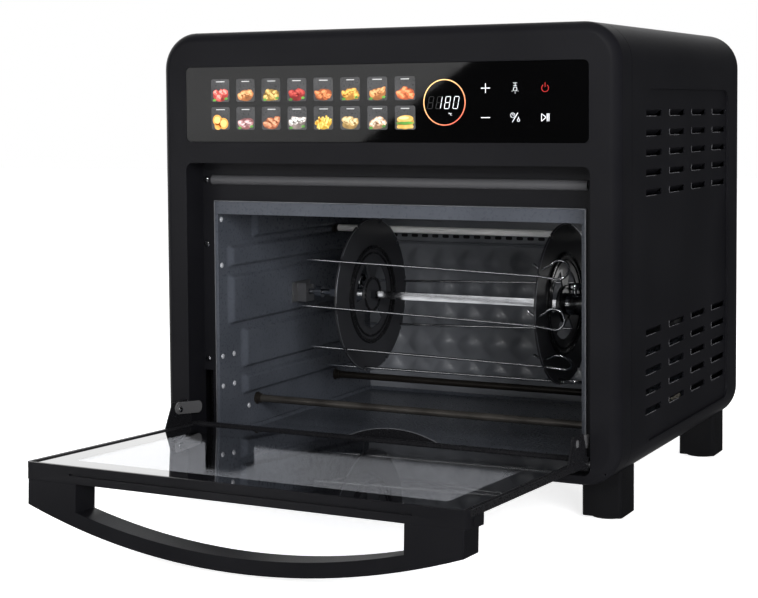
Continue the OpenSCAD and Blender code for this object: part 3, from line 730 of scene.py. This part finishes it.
def display_ring():
    """Lit ring round the digits, gold at its upper left and red at its lower right."""
    gold, red = (0.80, 0.50, 0.20), (0.55, 0.10, 0.06)
    sweep = TURN / RING_PARTS
    for number in range(RING_PARTS):
        start = math.radians(120) + number * sweep
        tone = mix(gold, red, 0.5 - 0.5 * math.cos(number * sweep))
        arc = ring_outline(*DISPLAY, RING_R - RING_HALF, RING_R + RING_HALF, start,
                           sweep * 1.02, 6)
        printed(f"ring_part_{number}", [arc],
                glowing(f"ring_tone_{number}", dim(tone, 0.9), tone, 0.95))


def segment(x, key):
    """One slanted bar of a seven-segment digit whose lower left corner is at x."""
    x0, z0, x1, z1 = SEGMENTS[key]
    a = Vector((x + x0 * DIGIT_W, DIGIT_Z + z0 * DIGIT_H))
    b = Vector((x + x1 * DIGIT_W, DIGIT_Z + z1 * DIGIT_H))
    run = (b - a).normalized()
    side = Vector((-run.y, run.x)) * STROKE / 2
    a, b = a + run * SEGMENT_GAP, b - run * SEGMENT_GAP
    points = [a + side, b + side, b + run * STROKE / 2, b - side, a - side,
              a - run * STROKE / 2]
    return [(p.x + SLANT * (p.y - DIGIT_Z), p.y) for p in points]


def display_digits():
    """Lit and unlit bars of the four digits."""
    lit, ghost = [], []
    for x, figure in zip(DIGIT_X, READING):
        for key in SEGMENTS:
            target = lit if key in DIGITS[figure] else ghost
            target.append(segment(x, key))
    printed("digits_lit", lit, WHITE_PRINT)
    printed("digits_ghost", ghost, GHOST_PRINT)


def degree_sign():
    """Small ring and open ring below the digits."""
    x, z = DISPLAY
    printed("degree_sign",
            [ring_outline(x + 4.0, z - 8.4, 0.2, 0.42, count=14),
             ring_outline(x + 5.7, z - 9.2, 0.6, 0.85, 0.8, TURN - 1.6, 16)], WHITE_PRINT)


# ---- control strip: touch keys ----

KEY_LEFT, KEY_MIDDLE, KEY_RIGHT = (GLASS_HIGH.x - inset for inset in (82.1, 57.9, 33.9))
KEY_UPPER, KEY_LOWER = GLASS_MID + 10.6, GLASS_MID - 11.7


def bar(x0, z0, x1, z1, thick):
    """Outline of a straight bar between two points."""
    a, b = Vector((x0, z0)), Vector((x1, z1))
    side = (b - a).normalized() * thick / 2
    side = Vector((-side.y, side.x))
    return [tuple(a + side), tuple(b + side), tuple(b - side), tuple(a - side)]


def plus_symbol(x, z):
    return [bar(x - 3.7, z, x + 3.7, z, 0.5), bar(x, z - 3.6, x, z - 0.25, 0.5),
            bar(x, z + 0.25, x, z + 3.6, 0.5)]


def minus_symbol(x, z):
    return [bar(x - 3.7, z, x + 3.7, z, 0.5)]


def lamp_symbol(x, z):
    """Hanging bulb with three rays below it."""
    bulb_z = z - 1.0
    rays = []
    for angle in (-150, -90, -30):
        dx, dz = math.cos(math.radians(angle)), math.sin(math.radians(angle))
        rays.append(bar(x + 2.5 * dx, bulb_z + 2.5 * dz, x + 3.3 * dx, bulb_z + 3.3 * dz, 0.22))
    return [ring_outline(x, bulb_z, 1.35, 1.6),
            bar(x - 1.5, z + 1.5, x + 1.5, z + 1.5, 0.24),
            bar(x, z + 1.6, x, z + 3.5, 0.24),
            bar(x - 1.5, z + 3.6, x + 1.5, z + 3.6, 0.24)] + rays


def timer_symbol(x, z):
    """Clock and drop on either side of a slanted stroke."""
    return [ring_outline(x - 2, z + 1.7, 1.65, 1.9),
            bar(x - 2, z + 1.8, x - 2, z + 2.8, 0.28),
            bar(x - 1.9, z + 1.6, x - 1.2, z + 1.6, 0.28),
            bar(x - 2.4, z - 3.6, x + 2.2, z + 3.6, 0.36),
            ring_outline(x + 2.6, z - 2, 0.85, 1.15, count=16),
            bar(x + 2.6, z - 0.8, x + 2.6, z + 0.6, 0.3)]


def play_symbol(x, z):
    """Triangle and two upright bars."""
    return [bar(x - 2.9, z - 2.6, x - 2.9, z + 2.6, 0.36),
            bar(x - 2.8, z + 2.8, x + 0.7, z + 0.1, 0.36),
            bar(x - 2.8, z - 2.8, x + 0.7, z - 0.1, 0.36),
            bar(x + 1.6, z - 2.9, x + 1.6, z + 2.9, 0.5),
            bar(x + 3.0, z - 2.9, x + 3.0, z + 2.9, 0.5)]


def touch_keys():
    """The white symbols as one print, and the red power symbol."""
    symbols = (plus_symbol(KEY_LEFT, KEY_UPPER) + minus_symbol(KEY_LEFT, KEY_LOWER)
               + lamp_symbol(KEY_MIDDLE, KEY_UPPER) + timer_symbol(KEY_MIDDLE, KEY_LOWER)
               + play_symbol(KEY_RIGHT, KEY_LOWER))
    printed("touch_symbols", symbols, WHITE_PRINT)
    x, z = KEY_RIGHT, KEY_UPPER
    printed("power_symbol",
            [ring_outline(x, z - 0.5, 2.5, 2.95, math.radians(125), math.radians(290), 28),
             bar(x, z + 0.3, x, z + 3.6, 0.45)], RED_PRINT)


# ---- louvres ----

VENT_COLUMNS, VENT_ROWS = 4, 5
VENT_PITCH_Y, VENT_PITCH_Z = 60.7, 15.35
VENT_FIRST_Y, VENT_FIRST_Z = 87, 47
VENT_GROUPS = (0, 169.5)
VENT_HALF = 19.5


def vent_places():
    """Side and middle, in y and z, of every vent in the two sides of the shell."""
    return [(side, VENT_FIRST_Y + column * VENT_PITCH_Y,
             VENT_FIRST_Z + group + row * VENT_PITCH_Z)
            for side in SIDES for group in VENT_GROUPS for row in range(VENT_ROWS)
            for column in range(VENT_COLUMNS)]


def louvre_fins():
    """Slanted blade inside each vent."""
    skin = SHELL_HIGH.x - 3.2
    fins = Parts()
    for side, y, z in vent_places():
        outline = [(skin + 1.0, z + 2.6), (skin - 0.2, z + 3.6), (skin - 4.6, z - 1.2),
                   (skin - 4.2, z - 1.8)]
        fins.prism([(side * a, b) for a, b in outline], y - VENT_HALF, y + VENT_HALF)
    mesh = fins.mesh("louvre_fins")
    shape = bmesh.new()
    shape.from_mesh(mesh)
    bmesh.ops.recalc_face_normals(shape, faces=shape.faces)
    shape.to_mesh(mesh)
    shape.free()
    piece("louvre_fins", mesh, HOUSING, "housing", BLACK_PAINT, smooth=False)


def louvre_lips():
    """Fine pressed edge round the front end and the lower edge of each vent, coloured lighter
    than the paint as a painted highlight.
    """
    lips = Parts()
    for side, y, z in vent_places():
        face = side * (SHELL_HIGH.x - 2.05)
        lips.tube([(face, y - 20.2, z + 2.6), (face, y - 20.6, z - 0.6),
                   (face, y - 19.4, z - 2.5), (face, y + 6, z - 2.6)], 0.3)
    lips.build("louvre_lips", EDGE_HIGHLIGHT_PAINT)


def rear_vent_shade():
    """Dark sheet inside the rear cover, seen through its vents: painted shade for the dim space
    behind them.
    """
    half, face = SHELL_HIGH.x - 15, SHELL_HIGH.y - 12.5
    vent_shade = Parts()
    vent_shade.prism(round_box(-half, SHELL_LOW.z + 14, half, SHELL_HIGH.z - 8, 20), face, face + 1)
    vent_shade.build("rear_vent_shade", BLACK_STEEL, smooth=False)


# ---- cavity ----

FLANGE = 3.5
WALL_X = -LINER_LOW.x - FLANGE
FRONT_Y = LINER_LOW.y
BACK_Y = inner_size("cavity_back_wall", HOUSING)[1].y - 1.0
SILL_Z, ROOF_Z = 15.6, LINER_HIGH.z

# Rack bands pressed into the side walls: lower edge, upper edge and front end of each
BANDS = [(36, 54, 58), (59, 94, 58), (99, 142, 37), (148, 167, 37), (171, 200, 77)]
BAND_DEEP, BAND_END = 3.5, 288.0

# Quilted back wall and the ledge above it
QUILT_PITCH, QUILT_RELIEF, QUILT_HALF = 27.0, 3.6, 150.0
QUILT_LOW, QUILT_TOP = 22.0, 150.0
LEDGE_LOW, LEDGE_HALF, LEDGE_DEEP = 151.0, 153.0, 3.6


def clamp(value):
    return min(1.0, max(0.0, value))


def step(value, low, high):
    """Smooth rise from 0 at low to 1 at high."""
    t = clamp((value - low) / (high - low))
    return t * t * (3 - 2 * t)


def band_height(y, z):
    """How far a rack band stands off the side wall at a place."""
    height = 0.0
    for z0, z1, y0 in BANDS:
        inside = (step(y, y0 - 0.5, y0 + 7.5) * step(BAND_END + 1 - y, 0, 7)
                  * step(z, z0 - 0.3, z0 + 3.2) * step(z1 + 0.3 - z, 0, 3.5))
        height = max(height, inside)
    return BAND_DEEP * height


def side_panel(side, name):
    """Side wall of the liner with its pressed bands and the hemmed front flange."""
    y0, z0, z1 = FRONT_Y + 1.2, LINER_LOW.z + 1.3, ROOF_Z - 0.1
    columns, rows, crowding = 184, 200, 1.15
    grid = []
    for j in range(rows + 1):
        z = z0 + (z1 - z0) * j / rows
        for i in range(columns + 1):
            y = y0 + (BACK_Y - y0) * (i / columns) ** crowding
            grid.append((side * (WALL_X - band_height(y, z)), y, z))
    wall = Parts()
    wall.add(grid, grid_faces(columns, rows, flip=side > 0))
    wall.prism(wall_strip(side, WALL_X, WALL_X + FLANGE, SILL_Z, ROOF_Z), FRONT_Y,
               FRONT_Y + 0.9)
    wall.prism(wall_strip(side, WALL_X + 0.05, WALL_X + 0.95, z0, z1), FRONT_Y + 0.9,
               BACK_Y - 0.1)
    return wall.build(name, ENAMEL)


def side_panels():
    for side, word in SIDES.items():
        node = f"cavity_{word}_wall"
        panel = side_panel(side, node + "_panel")
        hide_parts(node)


def quilt_depth(x, z):
    """How far the quilted field or the ledge stands off the back wall at a place."""
    inside = (clamp((QUILT_HALF - abs(x)) / 8) * clamp((z - QUILT_LOW) / 8)
              * clamp((QUILT_TOP - z) / 6))
    wave = (math.cos(TURN * x / QUILT_PITCH) + math.cos(TURN * z / QUILT_PITCH)) / 2
    bump = max(0.0, wave) ** 0.7 * QUILT_RELIEF * inside
    ledge = LEDGE_DEEP * clamp((z - LEDGE_LOW) / 2.5) * clamp((LEDGE_HALF - abs(x)) / 3)
    return bump + ledge


def back_mesh(name):
    """Relief in front and a plain sheet behind, joined round their edges."""
    columns, rows = 132, 84
    half, z0, z1 = WALL_X - 0.1, LINER_LOW.z + 1.2, ROOF_Z - 1.2
    vertices = []
    for j in range(rows + 1):
        z = z0 + (z1 - z0) * j / rows
        for i in range(columns + 1):
            x = half * (2 * i / columns - 1)
            vertices.append((x, BACK_Y - quilt_depth(x, z), z))
    faces = grid_faces(columns, rows)
    rear = len(vertices)
    rear_y = BACK_Y + 0.9
    vertices += [(-half, rear_y, z0), (half, rear_y, z0), (half, rear_y, z1),
                 (-half, rear_y, z1)]
    bottom = list(range(columns + 1))
    top = [rows * (columns + 1) + i for i in range(columns + 1)]
    left = [j * (columns + 1) for j in range(rows + 1)]
    right = [j * (columns + 1) + columns for j in range(rows + 1)]
    faces += [[rear + 3, rear + 2, rear + 1, rear], [rear, rear + 1] + bottom[::-1],
              [rear + 2, rear + 3] + top, [rear + 3, rear] + left,
              [rear + 1, rear + 2] + right[::-1]]
    return mesh_from(name, vertices, faces)


def back_panel():
    # The quilted back wall gets the lightened enamel, painted light
    panel = piece("cavity_back_panel", back_mesh("back_wall"), HOUSING, "housing", QUILT_PAINTED_LIGHT)
    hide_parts("cavity_back_wall")


def ledge_slots():
    """Row of near-black patches on the ledge: painted shade standing in for the slots' dark
    openings.
    """
    pitch, half, low, high = 11, 3.4, 157.4, 160.6
    slots = Parts()
    for number in range(-13, 14):
        x = number * pitch
        slots.prism(round_box(x - half, low, x + half, high, 1.4), BACK_Y - LEDGE_DEEP - 0.15,
                    BACK_Y - LEDGE_DEEP + 0.3)
    slots.build("ledge_slots", SLOT_PAINTED_SHADE, smooth=False)


def ledge_edge():
    """Bright line along the ledge's lower edge: a painted highlight on the edge."""
    y, z, half = BACK_Y - LEDGE_DEEP, LEDGE_LOW + 1.8, LEDGE_HALF - 1
    edge = Parts()
    edge.tube([(x, y, z) for x in (-half, 0, half)], 0.55)
    edge.build("ledge_edge", STEEL_AND_EDGE_HIGHLIGHT)


def notch_shade_sheets():
    """Dark sheets behind the notches that the hinge arms pass through: painted shade for the dim
    space behind them.
    """
    shade_sheets = Parts()
    for side in SIDES:
        shade_sheets.prism(wall_strip(side, WALL_X + 1.3, 181.0, 4.0, 66.0), 40.0, 40.8)
    shade_sheets.build("notch_shade_sheets", BLACK_STEEL, smooth=False)


def liner_hems():
    """Bare steel hem up both sides of the liner's mouth and along its top, whose light colour is
    partly a painted highlight on the mouth's edge.
    """
    for side, word in SIDES.items():
        hem = Parts()
        hem.prism(wall_strip(side, WALL_X + 2.6, WALL_X + FLANGE, SILL_Z, ROOF_Z),
                  FRONT_Y - 0.7, FRONT_Y - 0.05)
        hem.build(f"liner_hem_{word}", STEEL_AND_EDGE_HIGHLIGHT, smooth=False)
    half = WALL_X + 3
    top = Parts()
    top.tube([(x, FRONT_Y - 0.4, ROOF_Z) for x in (-half, 0, half)], 0.55)
    top.build("liner_hem_top", STEEL_AND_EDGE_HIGHLIGHT)


# ---- crumb tray ----

LIP_Z = 16.0
LIP_FRONT = 27.3
TAB_RISE = TRAY_HIGH.z - LIP_Z
TAB_HALF = 41.0
TAB_R = (TAB_HALF ** 2 + TAB_RISE ** 2) / (2 * TAB_RISE)


def tab_arch():
    """Points along the arched upper edge of the tray's tab, from left to right."""
    arch = []
    for k in range(-24, 25):
        x = TAB_HALF * k / 24
        arch.append((x, LIP_Z + math.sqrt(TAB_R ** 2 - x ** 2) - (TAB_R - TAB_RISE)))
    return arch


def tray_tab():
    """Arched tab that the tray is lifted by, coloured near black as painted shade on its front
    face.
    """
    tab = Parts()
    outline = [(-TAB_HALF, LIP_Z - 0.6), (TAB_HALF, LIP_Z - 0.6)] + tab_arch()[::-1]
    tab.prism(outline, LIP_FRONT - 0.3, LIP_FRONT + 0.08)
    tab.build("tray_tab", BLACK_STEEL, "tray", smooth=False)


def tray_lip():
    """Flat lip along the tray's front edge, coloured near black as painted shade."""
    rear, low, high, half = LIP_FRONT - 7.7, LIP_Z + 0.05, LIP_Z + 0.35, TRAY_HIGH.x - 0.2
    lip = Parts()
    lip.prism([(rear, low), (LIP_FRONT, low), (LIP_FRONT, high), (rear, high)], -half, half,
              "x")
    lip.build("tray_lip", BLACK_STEEL, "tray", smooth=False)


def tray_rim():
    """Bright rim along the lip and over the tab: a painted highlight on the lip's upper edge."""
    half = TRAY_HIGH.x - 0.5
    line = [(-half, LIP_Z)] + tab_arch() + [(half, LIP_Z)]
    rim = Parts()
    rim.tube([(x, LIP_FRONT, z + 0.1) for x, z in line], 0.5)
    rim.build("tray_rim", STEEL_AND_EDGE_HIGHLIGHT, "tray")


# ---- fasteners and heater collars ----

# Front-to-back place and height of each rivet in a side wall
RIVET_PLACES = [(29, 190), (29, 151), (29, 73.5), (47, 73.5), (29, 48), (47, 48), (70, 25)]
SCREW_X, SCREW_Z = 173.5, (72, 169.5, 223.8)


def liner_rivets():
    """Domed rivets in the liner's side walls, coloured light grey as a painted glint."""
    rivets = Parts()
    for y, z in RIVET_PLACES:
        for side in SIDES:
            rivets.lathe([(2.3, -0.2), (2.3, 0.2), (1.9, 0.75), (1.1, 1.05), (0.3, 1.15)],
                         inward(side, (side * WALL_X, y, z)), 24)
    heads = rivets.build("liner_rivets", RIVET_PAINTED_GLINT)
    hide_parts("cavity_rivets")


def frame_screw_heads():
    """Dished screw heads on the front frame."""
    screws = Parts()
    for x in (-SCREW_X, SCREW_X):
        for z in SCREW_Z:
            screws.lathe([(2.7, 0), (2.6, 0.8), (2.1, 1.25), (1.2, 1.35), (1.0, 0.7),
                          (0.2, 0.6)], along("-y", (x, FRONT_Y + 1, z)), 28)
    heads = screws.build("frame_screw_heads", CHROME)
    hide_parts("frame_screws")


def heater_collars():
    """Collars where the heaters pass through the walls."""
    collars = Parts()
    for row in ("upper_front", "upper_rear", "lower_front", "lower_rear"):
        low, high = inner_size("heater_" + row, HOUSING)
        y, z = (low.y + high.y) / 2, (low.z + high.z) / 2
        for side in SIDES:
            collars.lathe([(5.4, 0), (5.4, 0.8), (4.2, 1.4), (4.2, 4.5), (3.35, 5.0)],
                          inward(side, (side * (WALL_X - 0.1), y, z)), 28)
    collars.build("heater_collars", DARK_HEATER)


# ---- rotisserie ----

DISC_LEFT, DISC_RIGHT = (sum(corner.x for corner in inner_size(node, SPIT)) / 2
                         for node in ("disc_left", "disc_right"))
SKEWER_R = 65.5
RIM_SLOTS = 10
SLOT_PITCH = 360 / RIM_SLOTS
FIRST_SLOT = 31
SLOT_TURNS = [FIRST_SLOT - SLOT_PITCH * slot for slot in (0, 1, 2, 3, 5, 6)]

# The right disc is turned a little against the left one, so the skewers lean
TWIST = math.radians(5)
SPAN = DISC_RIGHT - DISC_LEFT
LEAN = math.atan(2 * SKEWER_R * math.sin(TWIST / 2) / SPAN)
REACH = SPAN / math.cos(LEAN)


def skewer_path():
    """Centre line of a skewer from its tip, through both discs, to its loop and tail."""
    path = [(-36.5, 0, 0), (-34, 0, 0), (-31, 0, 0), (-20, 0, 0)]
    path += [(REACH * k / 12, 0, 0.25 * math.sin(math.pi * k / 12)) for k in range(13)]
    path.append((REACH + 5, 0, -0.6))
    loop_r, loop_x, loop_z = 8.6, REACH + 15.5, 6.8
    for k in range(25):
        t = -1.95 + 4.5 * k / 24
        path.append((loop_x + loop_r * 1.05 * math.cos(t), 0.05 * k,
                     loop_z + loop_r * math.sin(t)))
    return path + [(REACH + 4.5, 1.8, 9.6), (REACH - 0.5, 2.4, 6.4), (REACH - 8, 2.6, 11.5)]


def skewer_mesh(name, turn):
    """Pointed wire with a loop, set in the rim slot at a turn of the discs in degrees."""
    wire = Parts()
    wire.tube(skewer_path(), 1.1, 12, taper=3)
    mesh = wire.mesh(name)
    slot = Vector((DISC_LEFT, -SKEWER_R * math.cos(TWIST / 2),
                   SKEWER_R * math.sin(TWIST / 2)))
    mesh.transform(Matrix.Rotation(TWIST / 2 - math.radians(turn), 4, "X")
                   @ Matrix.Translation(slot) @ Matrix.Rotation(LEAN, 4, "Y"))
    return mesh


def skewers():
    for number, turn in enumerate(SLOT_TURNS, 1):
        node = f"skewer_{number}"
        name = node + "_wire"
        wire = piece(name, skewer_mesh(name, turn), SPIT, "spit", WIRE)
        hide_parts(node)


def disc_beads():
    """Pressed rings on both faces of each disc."""
    points = 72
    beads = Parts()
    for x in (DISC_LEFT, DISC_RIGHT):
        for offset in (-0.75, 0.75):
            for r, thick in ((42.0, 2.1), (37.0, 1.2), (14.5, 1.4)):
                ring = [(x + offset, r * math.cos(t), r * math.sin(t))
                        for t in (TURN * k / points for k in range(points))]
                beads.tube(ring, thick, 8, closed=True)
    beads.build("disc_beads", DISC_BEAD, "spit", SPIT)


def disc_rims():
    """Thin rolled rim of each disc, open at the rim slots, in light steel as a painted highlight
    on the dark disc's edge.
    """
    rim_r, gap, points = 67.4, math.radians(4), 12
    pitch = math.radians(SLOT_PITCH)
    rims = Parts()
    for x, twist in ((DISC_LEFT, 0.0), (DISC_RIGHT, -TWIST)):
        for slot in range(RIM_SLOTS):
            start = slot * pitch + gap - math.radians(FIRST_SLOT) - twist
            angles = [start + (pitch - 2 * gap) * k / points for k in range(points + 1)]
            rims.tube([(x + 0.7, -rim_r * math.cos(t), -rim_r * math.sin(t)) for t in angles],
                      0.4, 8)
    rims.build("disc_rims", STEEL_AND_EDGE_HIGHLIGHT, "spit", SPIT)


def thumb_knobs():
    """Knurled heads and shanks of the screws that hold the discs on the bar."""
    knob_r = 6.0
    low, high = inner_size("thumb_screws", SPIT)
    knobs = Parts()
    for x in (low.x + knob_r, high.x - knob_r):
        knobs.lathe([(2.0, 3.4), (2.0, 11.6), (5.4, 12.0), (knob_r, 13.0), (knob_r, 16.4),
                     (5.2, 17.6), (2.0, 18.0)], along("z", (x, 0, 0)), 20)
    heads = knobs.build("thumb_knobs", CHROME, "spit", SPIT)
    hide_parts("thumb_screws")


# ---- stage ----

WHITE = (1.0, 1.0, 1.0, 1.0)

# Direction of the bright backdrop, behind the oven and to its left
BACKDROP = (-0.75, 0.65, 0.12)

# Point that the lamps above and in front of the oven are aimed at, in metres
AIM = (0, 0, 0.2)


def lit_surface(name, strength, dark=(0.80, 0.80, 0.80), light=(0.82, 0.82, 0.82),
                rough=(0.8, 0.9), grain=900):
    """Plain pale surface with its own white light."""
    return light_up(surface(name, dark, light, rough, grain=grain, bump=0.0), WHITE, strength)


def stage_card(name, corners, place, look):
    """Flat four-cornered object that isn't part of the oven."""
    mesh = mesh_from(name, corners, [[0, 1, 2, 3]])
    mesh.transform(place)
    mesh.materials.append(look)
    card = bpy.data.objects.new(name, mesh)
    bpy.context.scene.collection.objects.link(card)
    return card


def add_floor():
    """Pale floor under the feet, which the oven's paint doesn't mirror."""
    look = lit_surface("pale_floor", 0.8, (0.80, 0.80, 0.81), (0.83, 0.83, 0.84),
                       (0.6, 0.75), 40)
    half, depth = 6, -0.0005
    floor = stage_card("floor", [(-half, -half, depth), (half, -half, depth),
                                 (half, half, depth), (-half, half, depth)],
                       Matrix.Identity(4), look)
    floor.visible_glossy = False


def along_direction(tree, output, direction):
    """Dot product of a texture coordinate output with a direction."""
    place = add_node(tree, "TexCoord", {}).outputs[output]
    node = add_node(tree, "VectorMath", {0: place, 1: direction}, operation="DOT_PRODUCT")
    return node.outputs["Value"]


def panel_look():
    """Light of the front panel, which fades towards its lower right corner."""
    look = lit_surface("panel_glow", 1.0)
    climb = along_direction(look.node_tree, "Generated", (-2.2, 0.0, 5.6))
    fade = map_range(look.node_tree, climb, (0.35, 1.45), (0.02, 0.62))
    return light_up(look, WHITE, fade)


def add_front_panel():
    """Panel behind the viewer whose slanted edge is mirrored in the control glass."""
    y, left, top = -2000, -1900, 680
    panel = stage_card("front_panel", [(left, y, 0), (-1380, y, 0), (-352, y, top),
                                       (left, y, top)], HOUSING, panel_look())
    panel.visible_camera = False


def add_low_card():
    """Card at the floor in front of the oven, seen only in reflections."""
    look = lit_surface("card_glow", 0.45)
    left, right, near, far, z = -1150, -150, -1500, -600, -32
    card = stage_card("low_card", [(left, near, z), (right, near, z), (right, far, z),
                                   (left, far, z)], HOUSING, look)
    card.visible_camera = False
    card.visible_diffuse = False
    card.visible_shadow = False


def add_world():
    """White to the camera; to all else dark in front and bright towards the backdrop."""
    world = bpy.data.worlds.new("studio")
    bpy.context.scene.world = world
    bpy.context.scene.view_settings.view_transform = "Standard"
    world.use_nodes = True
    tree = world.node_tree
    side = along_direction(tree, "Generated", BACKDROP)
    tone = map_range(tree, side, (0.55, 0.85), (0.035, 1.4))
    seen = add_node(tree, "LightPath", {}).outputs["Is Camera Ray"]
    strength = add_node(tree, "Mix", {"Factor": seen, "A": tone, "B": 1.0}).outputs["Result"]
    set_inputs(tree, tree.nodes["Background"], {"Color": WHITE, "Strength": strength})


def softbox(name, at, target, size, power, mirrored=False):
    """Soft area light; only a mirrored one leaves highlights."""
    data = bpy.data.lights.new(name, "AREA")
    data.shape = "RECTANGLE"
    data.size, data.size_y = size
    data.energy = power
    lamp = bpy.data.objects.new(name, data)
    lamp.location = at
    lamp.rotation_euler = (Vector(target) - Vector(at)).to_track_quat("-Z", "Y").to_euler()
    lamp.visible_camera = False
    lamp.visible_glossy = mirrored
    bpy.context.scene.collection.objects.link(lamp)


def add_lamps():
    """Studio lamps round the oven and the oven's own lamp in front of its lens."""
    softbox("top_light", (0.0, -0.3, 2.1), AIM, (2.4, 2.0), 40)
    low, high = inner_size("lamp_lens", HOUSING)
    spot = HOUSING @ Vector((low.x - 14, (low.y + high.y) / 2, (low.z + high.z) / 2))
    softbox("cavity_lamp", spot, spot - Vector((1, 0, 0)), (0.03, 0.03), 0.01, mirrored=True)
    softbox("right_light", (2.1, -2.3, 0.95), AIM, (1.5, 1.2), 112)
    softbox("glint_light", (0.35, -3.0, 1.15), AIM, (0.4, 0.4), 14, mirrored=True)


# ---- camera ----

def add_camera():
    """Camera to the right of the door, level with the display, turned back to the oven."""
    data = bpy.data.cameras.new("camera")
    camera = bpy.data.objects.new("camera", data)
    bpy.context.scene.collection.objects.link(camera)
    bpy.context.scene.camera = camera
    data.sensor_width = 36
    data.lens = 79.37
    data.shift_y = -0.1306
    data.clip_end = 50
    yaw, pitch, roll = (math.radians(angle) for angle in (27.11, 3.15, -0.41))
    eye = HOUSING @ Vector((598.8, -1164.3, 283.0))
    camera.matrix_world = (Matrix.Translation(eye) @ Matrix.Rotation(yaw, 4, "Z")
                           @ Matrix.Rotation(QUARTER - pitch, 4, "X")
                           @ Matrix.Rotation(roll, 4, "Z"))


# ---- the whole model ----


STRIP = (key_tiles, key_marks, food_pictures, display_ring, display_digits, degree_sign,
         touch_keys)
SHELL = (louvre_fins, louvre_lips)
CAVITY = (side_panels, back_panel, ledge_slots, ledge_edge, rear_vent_shade, notch_shade_sheets,
          liner_hems, tray_tab, tray_lip, tray_rim, liner_rivets, arm_rivets,
          frame_screw_heads, heater_collars)
ROTISSERIE = (skewers, disc_beads, disc_rims, thumb_knobs)
STAGE = (add_floor, add_front_panel, add_low_card, add_world, add_lamps, add_camera)

for make in (dress_nodes, round_edges, door_edges) + STRIP + SHELL + CAVITY + ROTISSERIE + STAGE:
    make()
